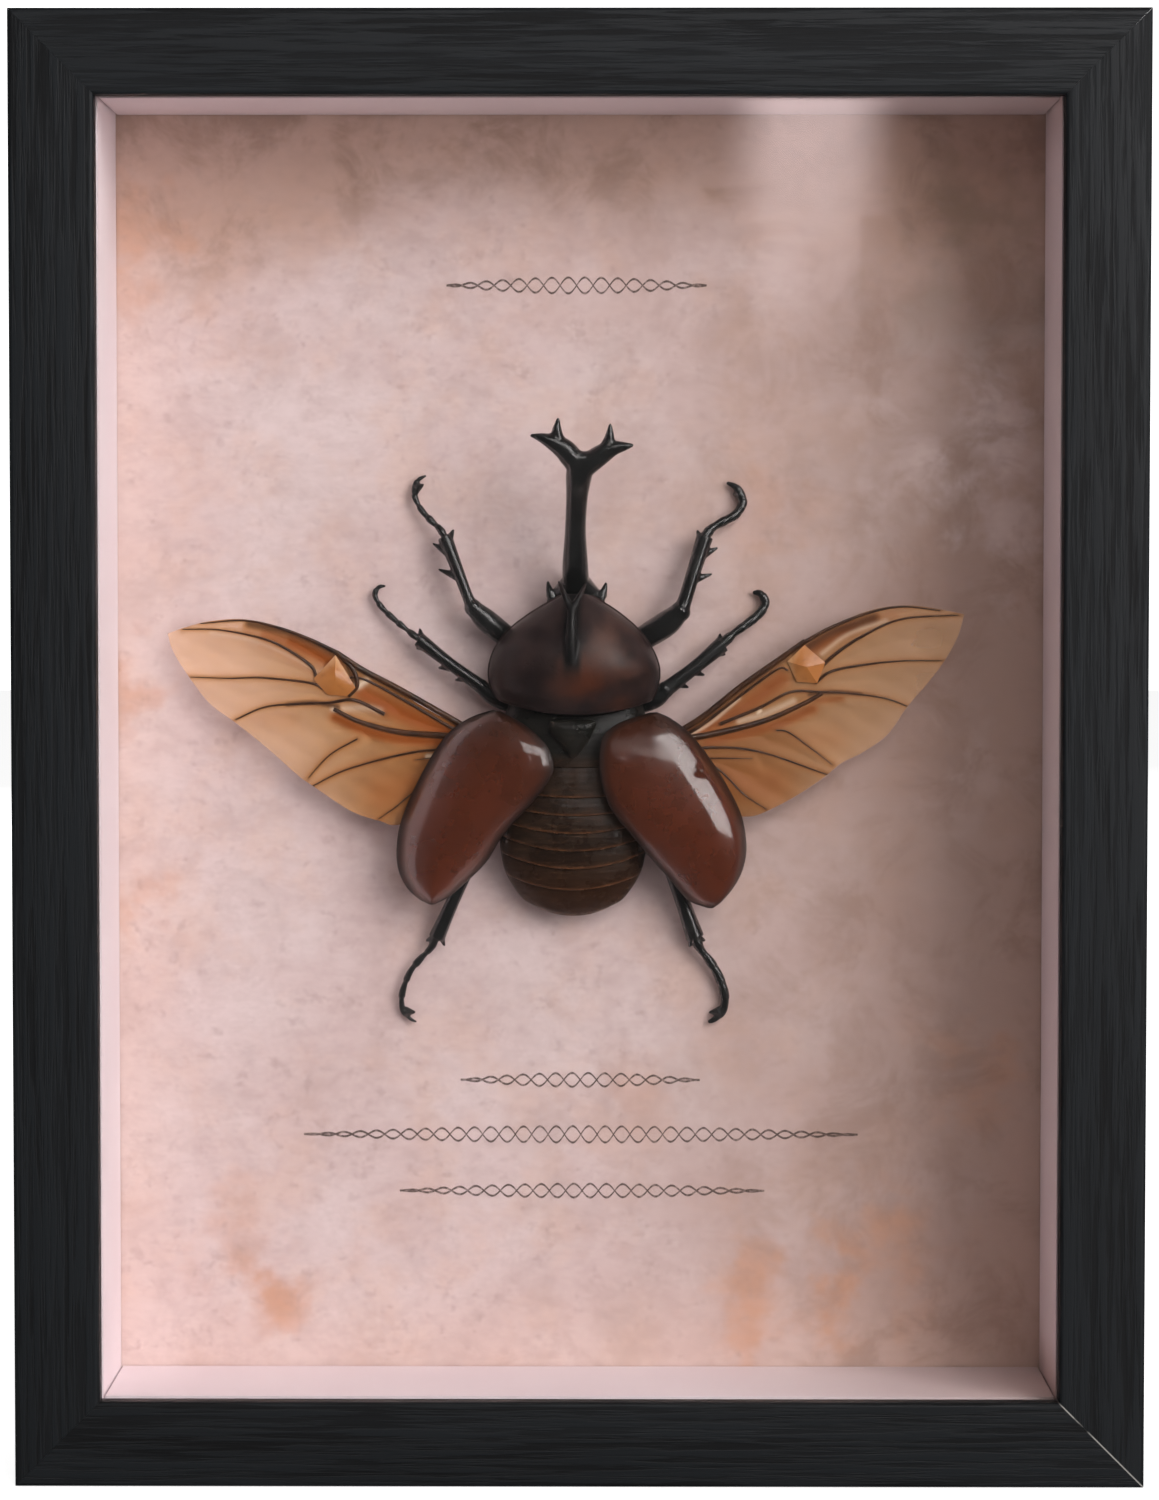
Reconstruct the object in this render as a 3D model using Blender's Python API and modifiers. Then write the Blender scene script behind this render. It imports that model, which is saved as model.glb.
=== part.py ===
"""A shadow-box frame holding a spread rhinoceros beetle glued to its backing card.

Metres, +Z up. The box stands on its bottom rail and faces -Y, and the origin is the middle of
that rail's underside. The beetle is laid out as it is mounted, on the flat card: its points are
millimetres across the card (x), up the card (y) and off the card towards the glass (z), and an
empty on the card's front stands it upright.
"""

import math

import bmesh
import bpy
import numpy as np

MM = 0.001
GAP = 0.3 * MM  # left between pieces that touch

# The case
CASE_WIDTH = 172.2 * MM
CASE_HEIGHT = 224.2 * MM
CASE_DEPTH = 34 * MM
FACE_WIDTH = 13 * MM  # a rail seen from the front
LIP_THICK = 3 * MM
REBATE = 3.7 * MM  # how far a rail is cut back behind its lip
EDGE_ROUND = 0.7 * MM
GLASS_THICK = 2 * MM
LINER_DEPTH = 24 * MM
CARD_THICK = 0.6 * MM
BOARD_THICK = 2.9 * MM

# Hardware on the back
BUTTON_THICK = 1 * MM
BUTTON_ROUND = 4.4 * MM  # radius of the end that turns
BUTTON_NOSE = 3 * MM  # radius of the end that holds the board
BUTTON_REACH = 14 * MM  # from the screw to the nose's centre
BUTTON_HEIGHTS = (60 * MM, 164 * MM)
SCREW_RADIUS = 1.4 * MM
SCREW_HEAD = (3 * MM, 1.3 * MM)  # radius and height
SCREW_LENGTH = 9 * MM
SCREW_CLEARANCE = 0.5 * MM
SLOT_WIDTH = 0.8 * MM
SLOT_DEPTH = 0.8 * MM
HANGER_LENGTH = 38 * MM
HANGER_TAB = 7 * MM
HANGER_WIDTH = 8 * MM
HANGER_THICK = 0.8 * MM
HANGER_LIFT = 1.4 * MM  # how far its middle stands off the rail
HANGER_DROP = 0.2 * MM  # below the middle of the rail's back
HANGER_TEETH = 9
TOOTH_HEIGHT = 2.1 * MM
TOOTH_LAND = 0.25 * MM  # flat left between two notches
NAIL_RADIUS = 0.8 * MM
NAIL_HEAD = (1.9 * MM, 0.7 * MM)
NAIL_LENGTH = 8 * MM
TURNED_SIDES = 12

# Worked out from those, front to back
FRONT = -CASE_DEPTH / 2
BACK = CASE_DEPTH / 2
GLASS_FRONT = FRONT + LIP_THICK + GAP
LINER_FRONT = GLASS_FRONT + GLASS_THICK + GAP
CARD_FRONT = LINER_FRONT + LINER_DEPTH + GAP
BOARD_FRONT = CARD_FRONT + CARD_THICK + GAP
INSET = FACE_WIDTH - REBATE + GAP  # from the outside to what lies in the rebate
LINER_THICK = REBATE - GAP

# The beetle's body in millimetres: up the card, left edge, right edge, edge height, top, belly,
# how far the sides lie ahead of the middle
PRONOTUM = (
    (117.0, -11.6, 10.2, 5.4, 9.8, 4.4, 2.0),
    (117.5, -12.4, 11.0, 5.2, 11.4, 3.2, 1.9),
    (118.6, -13.2, 11.6, 5.2, 12.6, 2.2, 1.5),
    (121.2, -14.1, 12.2, 5.2, 14.4, 1.4, 0.9),
    (124.2, -14.2, 12.3, 5.2, 15.4, 1.2, 0.3),
    (127.4, -13.3, 11.2, 5.2, 15.2, 1.2, 0.0),
    (130.3, -11.1, 9.1, 5.4, 14.0, 1.6, 0.0),
    (132.7, -8.0, 6.4, 5.8, 12.2, 3.4, 0.0),
    (134.6, -4.9, 3.6, 6.4, 10.4, 5.6, 0.0),
    (136.0, -2.4, 1.2, 7.0, 8.9, 6.5, 0.0),
)
HEAD = (
    (133.6, -4.0, 2.6, 2.6, 3.2, 1.4, 0.0),
    (134.6, -5.3, 3.9, 2.8, 4.8, 0.9, 0.0),
    (135.9, -4.9, 3.6, 3.0, 6.0, 0.6, 0.0),
    (137.3, -3.8, 2.5, 3.2, 6.8, 0.8, 0.0),
    (138.7, -2.7, 1.4, 3.2, 6.8, 1.2, 0.0),
    (139.8, -1.6, 0.4, 3.0, 5.4, 1.8, 0.0),
)
HIND_BODY_FRONT = ((116.5, -11.0, 9.6, 4.6, 9.6, 0.9, 0.0), (114.0, -12.4, 10.8, 4.6, 10.4, 0.6, 0.4))
HIND_BODY_REAR = ((86.3, -8.1, 5.9, 3.2, 5.7, 0.9, 1.9), (85.3, -5.6, 3.5, 2.8, 4.4, 1.4, 1.4))
TERGITES = (
    (109.0, -13.0, 11.3, 4.4, 10.9, 0.5, 1.0),
    (104.2, -13.2, 11.6, 4.2, 11.0, 0.4, 1.6),
    (101.4, -13.2, 11.5, 4.2, 10.9, 0.4, 1.9),
    (98.6, -13.0, 11.3, 4.2, 10.5, 0.4, 2.2),
    (95.8, -12.7, 10.8, 4.0, 9.9, 0.4, 2.4),
    (93.0, -12.2, 10.1, 3.8, 9.1, 0.5, 2.5),
    (89.6, -11.0, 8.8, 3.6, 7.9, 0.6, 2.4),
)
TERGITE_STEP = 0.35  # each plate stands this far above the next
TERGITE_EDGE = 0.25  # and steps down over this length
SCUTELLUM = (
    (-4.6, 116.4), (2.0, 116.4), (2.2, 114.9), (0.7, 112.2), (-1.2, 110.4), (-3.1, 112.4),
    (-4.8, 114.9),
)
SCUTELLUM_HEIGHTS = (9.0, 12.0)

# Centre lines in millimetres: x, y, z and radius
HORN = (
    ((-0.7, 138.6, 5.6, 2.1), (-0.75, 141.0, 7.6, 2.0), (-0.7, 146.0, 10.8, 1.65),
     (-0.45, 151.0, 13.8, 1.7), (-0.1, 154.6, 16.0, 2.05), (0.2, 156.2, 16.8, 1.75)),
    ((0.0, 155.4, 16.3, 1.8), (-2.2, 158.1, 17.4, 1.7), (-4.1, 159.3, 17.9, 1.3),
     (-5.8, 160.0, 18.2, 0.8), (-7.5, 160.4, 18.4, 0.15)),
    ((0.4, 155.4, 16.3, 1.8), (3.2, 157.4, 17.4, 1.6), (5.1, 158.4, 17.9, 1.2), (6.8, 158.7, 18.2, 0.75),
     (8.2, 158.9, 18.4, 0.15)),
    ((-3.0, 158.7, 17.6, 1.3), (-3.5, 160.6, 18.0, 0.95), (-3.3, 163.0, 18.4, 0.15)),
    ((3.7, 157.8, 17.6, 1.2), (4.5, 159.7, 18.0, 0.9), (4.7, 162.1, 18.4, 0.15)),
)
CHEST_HORN = (
    ((-1.35, 125.8, 14.7, 0.9), (-1.35, 129.4, 15.0, 0.85), (-1.25, 132.0, 14.5, 0.75),
     (-1.25, 134.0, 13.9, 0.7)),
    ((-1.3, 133.5, 14.0, 0.65), (-2.3, 135.7, 13.6, 0.5), (-3.25, 138.0, 13.2, 0.15)),
    ((-1.2, 133.5, 14.0, 0.65), (-0.1, 135.5, 13.6, 0.5), (0.9, 137.6, 13.2, 0.15)),
)
EYES = ((-4.7, 136.0, 3.6, 0.9), (3.5, 136.0, 3.6, 0.9))

# Each leg: its centre line, which runs on into the foot and its claw, and its spines from root to tip
LEGS = {
    "leg_front_left": (
        ((-8.2, 127.0, 1.7, 0.9), (-11.0, 128.8, 2.4, 1.45), (-14.6, 131.7, 3.7, 1.6),
         (-16.8, 133.8, 4.5, 1.15), (-17.6, 135.4, 4.5, 0.8), (-19.3, 139.8, 4.0, 0.85),
         (-21.3, 144.9, 3.2, 1.05), (-22.1, 146.2, 2.8, 0.5), (-23.7, 147.7, 2.2, 0.55),
         (-25.3, 149.6, 1.7, 0.45), (-26.2, 151.9, 1.2, 0.45), (-25.6, 153.8, 1.0, 0.4),
         (-24.3, 154.6, 0.9, 0.15)),
        (((-20.4, 142.2, 3.6), (-23.8, 144.3, 3.0)), ((-19.0, 138.6, 4.1), (-23.0, 140.1, 3.4)),
         ((-20.8, 144.2, 3.4), (-19.7, 146.5, 2.8)), ((-26.0, 152.4, 1.2), (-24.4, 153.4, 0.7))),
    ),
    "leg_front_right": (
        ((6.4, 127.2, 1.7, 0.9), (9.4, 128.7, 2.4, 1.45), (13.4, 131.2, 3.7, 1.6),
         (15.7, 133.2, 4.5, 1.2), (16.4, 134.9, 4.5, 0.9), (18.0, 140.0, 4.0, 0.9),
         (19.6, 145.0, 3.3, 1.05), (20.7, 146.3, 2.8, 0.5), (22.4, 147.3, 2.3, 0.55),
         (24.5, 148.5, 1.7, 0.45), (25.6, 150.5, 1.2, 0.45), (24.7, 152.6, 1.0, 0.4),
         (23.1, 153.5, 0.9, 0.15)),
        (((19.0, 142.0, 3.6), (22.2, 143.5, 3.0)), ((17.6, 138.2, 4.1), (21.4, 139.3, 3.4)),
         ((19.1, 144.2, 3.4), (18.2, 146.4, 2.8)), ((25.3, 151.4, 1.2), (23.8, 151.8, 0.7))),
    ),
    "leg_middle_left": (
        ((-9.6, 117.6, 2.2, 0.8), (-13.4, 119.6, 3.2, 1.2), (-15.6, 121.4, 3.7, 1.0),
         (-20.5, 125.0, 3.6, 0.85), (-25.4, 128.8, 3.0, 1.05), (-26.9, 130.0, 2.5, 0.45),
         (-28.8, 131.5, 2.0, 0.5), (-31.2, 133.7, 1.4, 0.45), (-32.4, 135.7, 1.1, 0.42),
         (-31.8, 137.0, 1.0, 0.38), (-30.7, 137.2, 0.9, 0.15)),
        (((-23.4, 127.4, 3.3), (-26.4, 127.4, 2.6)), ((-19.8, 124.4, 3.6), (-22.9, 124.3, 2.9)),
         ((-17.4, 122.8, 3.7), (-20.2, 122.3, 3.0)), ((-24.8, 128.4, 3.1), (-25.4, 131.0, 2.4))),
    ),
    "leg_middle_right": (
        ((7.8, 117.6, 2.2, 0.8), (11.6, 119.4, 3.2, 1.2), (13.4, 120.9, 3.7, 1.0),
         (18.0, 124.4, 3.6, 0.85), (22.4, 128.1, 3.0, 1.05), (24.0, 129.6, 2.5, 0.45),
         (26.2, 131.2, 2.0, 0.5), (28.2, 132.8, 1.4, 0.45), (29.2, 134.6, 1.1, 0.42),
         (28.4, 136.0, 1.0, 0.38), (27.2, 136.2, 0.9, 0.15)),
        (((20.6, 126.6, 3.3), (23.4, 126.4, 2.6)), ((17.4, 123.9, 3.6), (20.1, 123.0, 2.9)),
         ((15.0, 122.0, 3.7), (17.5, 121.1, 3.0)), ((21.8, 127.7, 3.1), (22.1, 130.2, 2.4))),
    ),
    "leg_hind_left": (
        ((-12.3, 102.0, 1.5, 0.9), (-14.8, 98.9, 2.3, 1.5), (-16.8, 95.2, 3.0, 1.3),
         (-17.8, 92.6, 3.2, 0.95), (-20.4, 86.8, 2.9, 0.95), (-22.7, 81.6, 2.4, 1.15),
         (-23.7, 79.9, 2.1, 0.5), (-25.5, 78.0, 1.8, 0.55), (-27.1, 75.8, 1.5, 0.48),
         (-28.2, 72.6, 1.2, 0.5), (-28.1, 70.0, 1.0, 0.42), (-26.9, 68.6, 0.9, 0.3),
         (-25.9, 68.1, 0.8, 0.12)),
        (((-22.2, 82.6, 2.6), (-21.3, 79.8, 1.9)), ((-22.5, 82.0, 2.4), (-24.8, 80.9, 1.8)),
         ((-20.0, 87.6, 2.9), (-21.9, 86.0, 2.4)), ((-27.6, 69.8, 1.1), (-25.8, 69.6, 0.7))),
    ),
    "leg_hind_right": (
        ((10.8, 102.0, 1.5, 0.9), (12.8, 98.6, 2.3, 1.5), (14.0, 95.0, 3.0, 1.3),
         (14.5, 92.4, 3.2, 0.95), (16.4, 86.8, 2.9, 0.95), (18.2, 81.7, 2.4, 1.15),
         (19.0, 79.9, 2.1, 0.5), (20.6, 77.8, 1.8, 0.55), (22.0, 75.4, 1.5, 0.48),
         (22.9, 72.4, 1.2, 0.5), (22.6, 69.9, 1.0, 0.42), (21.3, 68.6, 0.9, 0.3),
         (20.3, 68.1, 0.8, 0.12)),
        (((17.8, 82.6, 2.6), (17.2, 79.6, 1.9)), ((18.0, 82.2, 2.4), (20.2, 80.9, 1.8)),
         ((16.1, 87.6, 2.9), (17.9, 85.9, 2.4)), ((22.1, 69.9, 1.1), (20.0, 69.6, 0.7))),
    ),
}
SPINE_RADII = (0.5, 0.35, 0.08)  # at its root, middle and tip

# Each raised wing case: its outer and inner edges from the root to the tip
WING_CASES = {
    "wing_case_left": (
        ((-13.6, 117.9, 8.6), (-16.5, 117.0, 8.4), (-19.3, 115.4, 8.0), (-21.7, 113.0, 7.6),
         (-24.3, 108.8, 7.2), (-26.7, 104.0, 6.9), (-28.3, 99.6, 6.7), (-28.8, 95.4, 6.6),
         (-28.4, 92.3, 6.5), (-27.1, 89.8, 6.5), (-25.3, 88.1, 6.5), (-23.9, 87.4, 6.6)),
        ((-12.4, 117.7, 8.9), (-10.4, 116.7, 9.9), (-8.2, 115.4, 11.2), (-6.1, 113.6, 12.3),
         (-4.6, 111.6, 12.9), (-4.0, 109.2, 13.0), (-4.8, 107.0, 12.8), (-7.2, 103.8, 12.2),
         (-11.8, 98.6, 10.8), (-14.4, 94.4, 9.2), (-17.2, 91.4, 8.0), (-20.4, 88.6, 7.2),
         (-22.6, 87.4, 6.8)),
    ),
    "wing_case_right": (
        ((12.0, 117.6, 8.6), (14.2, 116.6, 8.4), (16.8, 114.6, 8.0), (19.4, 111.6, 7.6),
         (22.6, 106.8, 7.2), (25.2, 101.6, 6.9), (26.1, 96.9, 6.7), (25.7, 93.3, 6.6),
         (24.4, 90.4, 6.5), (22.5, 88.0, 6.5), (21.0, 86.9, 6.6)),
        ((10.8, 117.5, 8.9), (8.4, 116.8, 9.9), (5.6, 115.7, 11.2), (3.6, 113.9, 12.4),
         (3.0, 111.6, 12.9), (3.0, 109.2, 13.0), (3.6, 105.6, 12.6), (5.2, 102.0, 12.0),
         (8.6, 97.8, 10.9), (11.2, 94.6, 9.4), (14.0, 91.4, 8.2), (17.0, 88.0, 7.2), (19.8, 86.8, 6.8)),
    ),
}
CASE_CROWN = 3.4
CASE_CROWN_ROOT = 0.35  # how far the crown has begun to rise at the root
CASE_SHELL = 0.7

# Each membranous wing: the outline from its root round by the tip, and its veins with their radius
WINGS = {
    "hind_wing_left": (
        ((-13.9, 112.4), (-19.2, 115.3), (-25.5, 118.8), (-29.9, 121.8), (-34.0, 123.9), (-38.2, 126.6),
         (-42.8, 129.1), (-47.8, 130.9), (-53.0, 132.0), (-58.6, 131.6), (-62.7, 130.5), (-64.9, 129.7),
         (-64.0, 126.8), (-61.5, 122.9), (-58.2, 118.6), (-54.3, 115.8), (-49.6, 112.0), (-44.6, 107.6),
         (-42.2, 105.9), (-36.2, 101.9), (-31.5, 100.3), (-28.3, 99.7), (-20.0, 102.2), (-14.3, 105.4)),
        (
            (((-14.0, 112.2), (-19.2, 115.2), (-25.5, 118.7), (-29.9, 121.7), (-34.0, 123.7),
              (-38.3, 126.5)), 0.5),
            (((-38.3, 126.4), (-42.8, 128.9), (-47.8, 130.7), (-53.0, 131.8), (-58.6, 131.4)), 0.35),
            (((-62.5, 130.3), (-54.1, 129.8), (-49.2, 128.3), (-45.0, 125.9), (-42.3, 124.2),
              (-41.2, 121.9)), 0.28),
            (((-61.0, 123.0), (-52.5, 123.1), (-45.0, 122.5), (-40.0, 120.9)), 0.25),
            (((-54.0, 116.3), (-49.3, 118.2), (-45.0, 118.8), (-40.4, 118.8), (-36.0, 119.5),
              (-30.9, 117.0)), 0.28),
            (((-39.5, 117.9), (-36.0, 116.3), (-31.5, 115.1), (-20.9, 114.0), (-14.2, 111.4)), 0.42),
            (((-41.8, 106.0), (-37.5, 108.3), (-31.5, 110.0), (-23.9, 111.3), (-14.4, 109.8)), 0.3),
        ),
    ),
    "hind_wing_right": (
        ((12.3, 112.4), (17.4, 115.4), (21.4, 118.6), (24.6, 121.0), (30.0, 124.9), (33.8, 127.7),
         (38.4, 130.3), (42.6, 132.4), (47.1, 133.8), (51.4, 134.2), (55.8, 133.7), (60.3, 132.8),
         (59.2, 129.0), (57.0, 125.2), (54.6, 122.0), (51.4, 118.3), (48.4, 114.0), (44.6, 111.2),
         (41.0, 109.4), (38.8, 107.6), (34.8, 104.8), (30.4, 102.4), (26.0, 101.0), (19.0, 102.6),
         (12.7, 105.4)),
        (
            (((12.4, 112.2), (17.4, 115.2), (21.4, 118.4), (24.6, 120.8), (30.0, 124.7),
              (35.2, 128.3)), 0.5),
            (((35.2, 128.3), (38.4, 130.1), (42.6, 132.2), (47.1, 133.6), (51.4, 134.0),
              (55.6, 133.5)), 0.35),
            (((59.4, 132.8), (51.8, 132.7), (45.6, 131.0), (41.4, 128.2), (39.2, 124.6)), 0.28),
            (((57.1, 125.5), (47.2, 125.0), (39.7, 124.4), (36.7, 122.8)), 0.25),
            (((51.3, 118.4), (47.3, 119.8), (41.3, 120.6), (33.7, 120.8), (28.3, 118.6),
              (22.0, 115.6)), 0.28),
            (((36.7, 119.5), (30.8, 117.1), (19.6, 113.8), (12.6, 111.2)), 0.42),
            (((38.6, 107.8), (33.8, 110.2), (27.8, 111.5), (19.9, 112.3), (12.8, 109.6)), 0.3),
        ),
    ),
}
WING_THICK = 0.36
WING_ROOT_Z = 5.7
WING_ROOT_X = 13.0
WING_FALL = 0.03  # how much a wing drops for each millimetre away from the body


def material(name, colour, roughness, metallic=0.0, alpha=1.0):
    made = bpy.data.materials.new(name)
    made.use_nodes = True
    shader = made.node_tree.nodes["Principled BSDF"]
    shader.inputs["Base Color"].default_value = (*colour, 1)
    shader.inputs["Roughness"].default_value = roughness
    shader.inputs["Metallic"].default_value = metallic
    shader.inputs["Alpha"].default_value = alpha
    return made


def clear_scene():
    for old in list(bpy.data.objects):
        bpy.data.objects.remove(old, do_unlink=True)


clear_scene()
DISPLAY = bpy.data.collections.new("insect_display_frame")
HELPERS = bpy.data.collections.new("cutters_and_joined_shapes")
HELPERS.hide_render = True
for collection in (DISPLAY, HELPERS):
    bpy.context.scene.collection.children.link(collection)

BLACK_WOOD = material("black_stained_wood", (0.013, 0.016, 0.019), 0.55)
CLEAR_GLASS = material("clear_glass", (1.0, 1.0, 1.0), 0.02, alpha=0.2)
WHITE_FOAM = material("white_liner", (0.82, 0.78, 0.76), 0.7)
AGED_CARD = material("aged_card", (0.60, 0.42, 0.37), 0.8)
HARDBOARD = material("hardboard", (0.24, 0.15, 0.08), 0.8)
ZINC = material("zinc_plated_steel", (0.56, 0.57, 0.58), 0.35, metallic=1.0)
BLACK_CHITIN = material("black_chitin", (0.012, 0.014, 0.013), 0.22)
DARK_CHITIN = material("dark_brown_chitin", (0.028, 0.014, 0.012), 0.25)
RED_CHITIN = material("red_brown_chitin", (0.10, 0.026, 0.012), 0.2)
SOFT_CHITIN = material("soft_brown_chitin", (0.03, 0.014, 0.008), 0.4)
MEMBRANE = material("amber_membrane", (0.50, 0.26, 0.10), 0.3)


def place(name, mesh, finish, parent=None, smooth_angle=35):
    """Makes a part of the model from a mesh, shaded smooth except at its sharp edges."""
    mesh.name = name
    mesh.materials.clear()
    mesh.materials.append(finish)
    mesh.shade_smooth()
    mesh.set_sharp_from_angle(angle=math.radians(smooth_angle))
    part = bpy.data.objects.new(name, mesh)
    part.parent = parent
    DISPLAY.objects.link(part)
    return part


def helper(name, mesh, parent=None):
    """A shape that only cuts or is joined to a part."""
    shape = bpy.data.objects.new(name, mesh)
    shape.hide_render = True
    shape.display_type = "WIRE"
    shape.parent = parent
    HELPERS.objects.link(shape)
    return shape


def combine(part, shape, operation):
    boolean = part.modifiers.new(f"{operation.lower()}_{shape.name}", "BOOLEAN")
    boolean.operation = operation
    boolean.solver = "EXACT"
    boolean.object = shape


def mesh_of(curve_data):
    """The closed mesh of a curve, with its caps welded to its sides."""
    curve = bpy.data.objects.new("curve", curve_data)
    bpy.context.scene.collection.objects.link(curve)
    graph = bpy.context.evaluated_depsgraph_get()
    mesh = bpy.data.meshes.new_from_object(curve.evaluated_get(graph))
    bpy.data.objects.remove(curve, do_unlink=True)
    bm = bmesh.new()
    bm.from_mesh(mesh)
    bmesh.ops.remove_doubles(bm, verts=bm.verts, dist=1e-6)
    bmesh.ops.recalc_face_normals(bm, faces=bm.faces)
    bm.to_mesh(mesh)
    bm.free()
    return mesh


def outline_mesh(outlines, thickness):
    """A flat plate of this thickness about its local XY plane; outlines after the first are holes."""
    data = bpy.data.curves.new("outline", "CURVE")
    data.dimensions = "2D"
    data.fill_mode = "BOTH"
    data.extrude = thickness / 2
    for points in outlines:
        spline = data.splines.new("POLY")
        spline.points.add(len(points) - 1)
        for point, (x, y) in zip(spline.points, points):
            point.co = (x, y, 0, 1)
        spline.use_cyclic_u = True
    return mesh_of(data)


def tube_mesh(stations, resolution=2):
    """A tube through stations of x, y, z and radius in millimetres."""
    data = bpy.data.curves.new("tube", "CURVE")
    data.dimensions = "3D"
    data.bevel_depth = MM
    data.bevel_resolution = resolution
    data.use_fill_caps = True
    spline = data.splines.new("POLY")
    spline.points.add(len(stations) - 1)
    for point, (x, y, z, radius) in zip(spline.points, stations):
        point.co = (x * MM, y * MM, z * MM, 1)
        point.radius = radius
    return mesh_of(data)


def box_mesh(low, high):
    bm = bmesh.new()
    bmesh.ops.create_cube(bm, size=1)
    for vert in bm.verts:
        vert.co = [(a + b) / 2 + (b - a) * c for a, b, c in zip(low, high, vert.co)]
    mesh = bpy.data.meshes.new("box")
    bm.to_mesh(mesh)
    bm.free()
    return mesh


def merged(meshes):
    """Several meshes as the separate bodies of one."""
    bm = bmesh.new()
    for mesh in meshes:
        bm.from_mesh(mesh)
    joined = bpy.data.meshes.new("merged")
    bm.to_mesh(joined)
    bm.free()
    return joined


def circle(radius, sides, centre=(0, 0)):
    turn = 2 * math.pi / sides
    return [(centre[0] + radius * math.cos(i * turn), centre[1] + radius * math.sin(i * turn))
            for i in range(sides)]


def smooth_line(points, count):
    """count evenly spaced points on a Catmull-Rom curve through the given ones."""
    points = np.array(points, float)
    before, after = 2 * points[:1] - points[1:2], 2 * points[-1:] - points[-2:-1]
    p = np.concatenate([before, points, after])
    t = np.linspace(0, 1, 10, endpoint=False)[:, None]
    runs = [
        b + t / 2 * (c - a) + t**2 * (a - 2.5 * b + 2 * c - d / 2) + t**3 * (1.5 * (b - c) + (d - a) / 2)
        for a, b, c, d in zip(p, p[1:], p[2:], p[3:])
    ]
    dense = np.concatenate([*runs, points[-1:]])
    steps = np.linalg.norm(np.diff(dense[:, :3], axis=0), axis=1)
    along = np.concatenate([[0], np.cumsum(steps)])
    places = np.linspace(0, along[-1], count)
    return np.stack([np.interp(places, along, column) for column in dense.T], axis=1)


# Rails

def rail_profile():
    """A rail's section: x runs in from the outside of the case, y from its front to its back."""
    quarter = [i * math.pi / 8 for i in range(5)]
    r = EDGE_ROUND
    outer_edge = [(r - r * math.cos(a), FRONT + r - r * math.sin(a)) for a in quarter]
    inner_edge = [(FACE_WIDTH - r + r * math.sin(a), FRONT + r - r * math.cos(a)) for a in quarter]
    lip_back = FRONT + LIP_THICK
    rebate = [(FACE_WIDTH, lip_back), (FACE_WIDTH - REBATE, lip_back), (FACE_WIDTH - REBATE, BACK), (0, BACK)]
    return outer_edge + inner_edge + rebate


def rail(name, length, location, turn):
    """One mitred rail; turn is its angle about Y from the left rail's place."""
    mesh = outline_mesh([rail_profile()], length)
    for vert in mesh.vertices:
        half = length / 2 - vert.co.x - GAP / math.sqrt(2)
        vert.co.z = math.copysign(half, vert.co.z)
    part = place(name, mesh, BLACK_WOOD)
    part.location = location
    part.rotation_euler = (0, turn, 0)
    return part


def make_rails():
    rails = (
        ("rail_left", CASE_HEIGHT, (-CASE_WIDTH / 2, 0, CASE_HEIGHT / 2), 0),
        ("rail_right", CASE_HEIGHT, (CASE_WIDTH / 2, 0, CASE_HEIGHT / 2), math.pi),
        ("rail_bottom", CASE_WIDTH, (0, 0, 0), -math.pi / 2),
        ("rail_top", CASE_WIDTH, (0, 0, CASE_HEIGHT), math.pi / 2),
    )
    return {name: rail(name, length, location, turn) for name, length, location, turn in rails}


# What lies in the rebate, from the front to the back

def sheet(name, front, thickness, finish):
    half_width = CASE_WIDTH / 2 - INSET
    low = (-half_width, front, INSET)
    high = (half_width, front + thickness, CASE_HEIGHT - INSET)
    return place(name, box_mesh(low, high), finish)


def make_sheets():
    sheet("glass", GLASS_FRONT, GLASS_THICK, CLEAR_GLASS)
    sheet("backing_card", CARD_FRONT, CARD_THICK, AGED_CARD)
    sheet("back_board", BOARD_FRONT, BOARD_THICK, HARDBOARD)


def make_liner():
    """Four strips round the inside of the case, the short ones between the tall ones."""
    back = LINER_FRONT + LINER_DEPTH
    outside = CASE_WIDTH / 2 - INSET
    inside = outside - LINER_THICK
    for side, sign in (("left", -1), ("right", 1)):
        x = sorted((sign * inside, sign * outside))
        mesh = box_mesh((x[0], LINER_FRONT, INSET), (x[1], back, CASE_HEIGHT - INSET))
        place(f"liner_{side}", mesh, WHITE_FOAM)
    for side, low in (("bottom", INSET), ("top", CASE_HEIGHT - INSET - LINER_THICK)):
        mesh = box_mesh((-inside + GAP, LINER_FRONT, low), (inside - GAP, back, low + LINER_THICK))
        place(f"liner_{side}", mesh, WHITE_FOAM)


# Hardware on the back

def turned(name, profile, location):
    """A turned piece whose local +Z points out of the case's back."""
    mesh = bpy.data.meshes.new(name)
    edges = [(i, i + 1) for i in range(len(profile) - 1)]
    mesh.from_pydata([(radius, 0, z) for radius, z in profile], edges, [])
    part = place(name, mesh, ZINC)
    screw = part.modifiers.new("turned", "SCREW")
    screw.steps = screw.render_steps = TURNED_SIDES
    screw.use_merge_vertices = True
    screw.merge_threshold = 0.00001
    part.location = location
    part.rotation_euler = (-math.pi / 2, 0, 0)
    return part


def button_outline():
    """A plate round at its screw and narrower at its nose, which points along +X."""
    lean = math.acos((BUTTON_ROUND - BUTTON_NOSE) / BUTTON_REACH)
    round_end = [lean + i * (2 * math.pi - 2 * lean) / 12 for i in range(13)]
    nose = [-lean + i * 2 * lean / 8 for i in range(9)]
    points = [(BUTTON_ROUND * math.cos(a), BUTTON_ROUND * math.sin(a)) for a in round_end]
    return points + [(BUTTON_REACH + BUTTON_NOSE * math.cos(a), BUTTON_NOSE * math.sin(a)) for a in nose]


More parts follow.
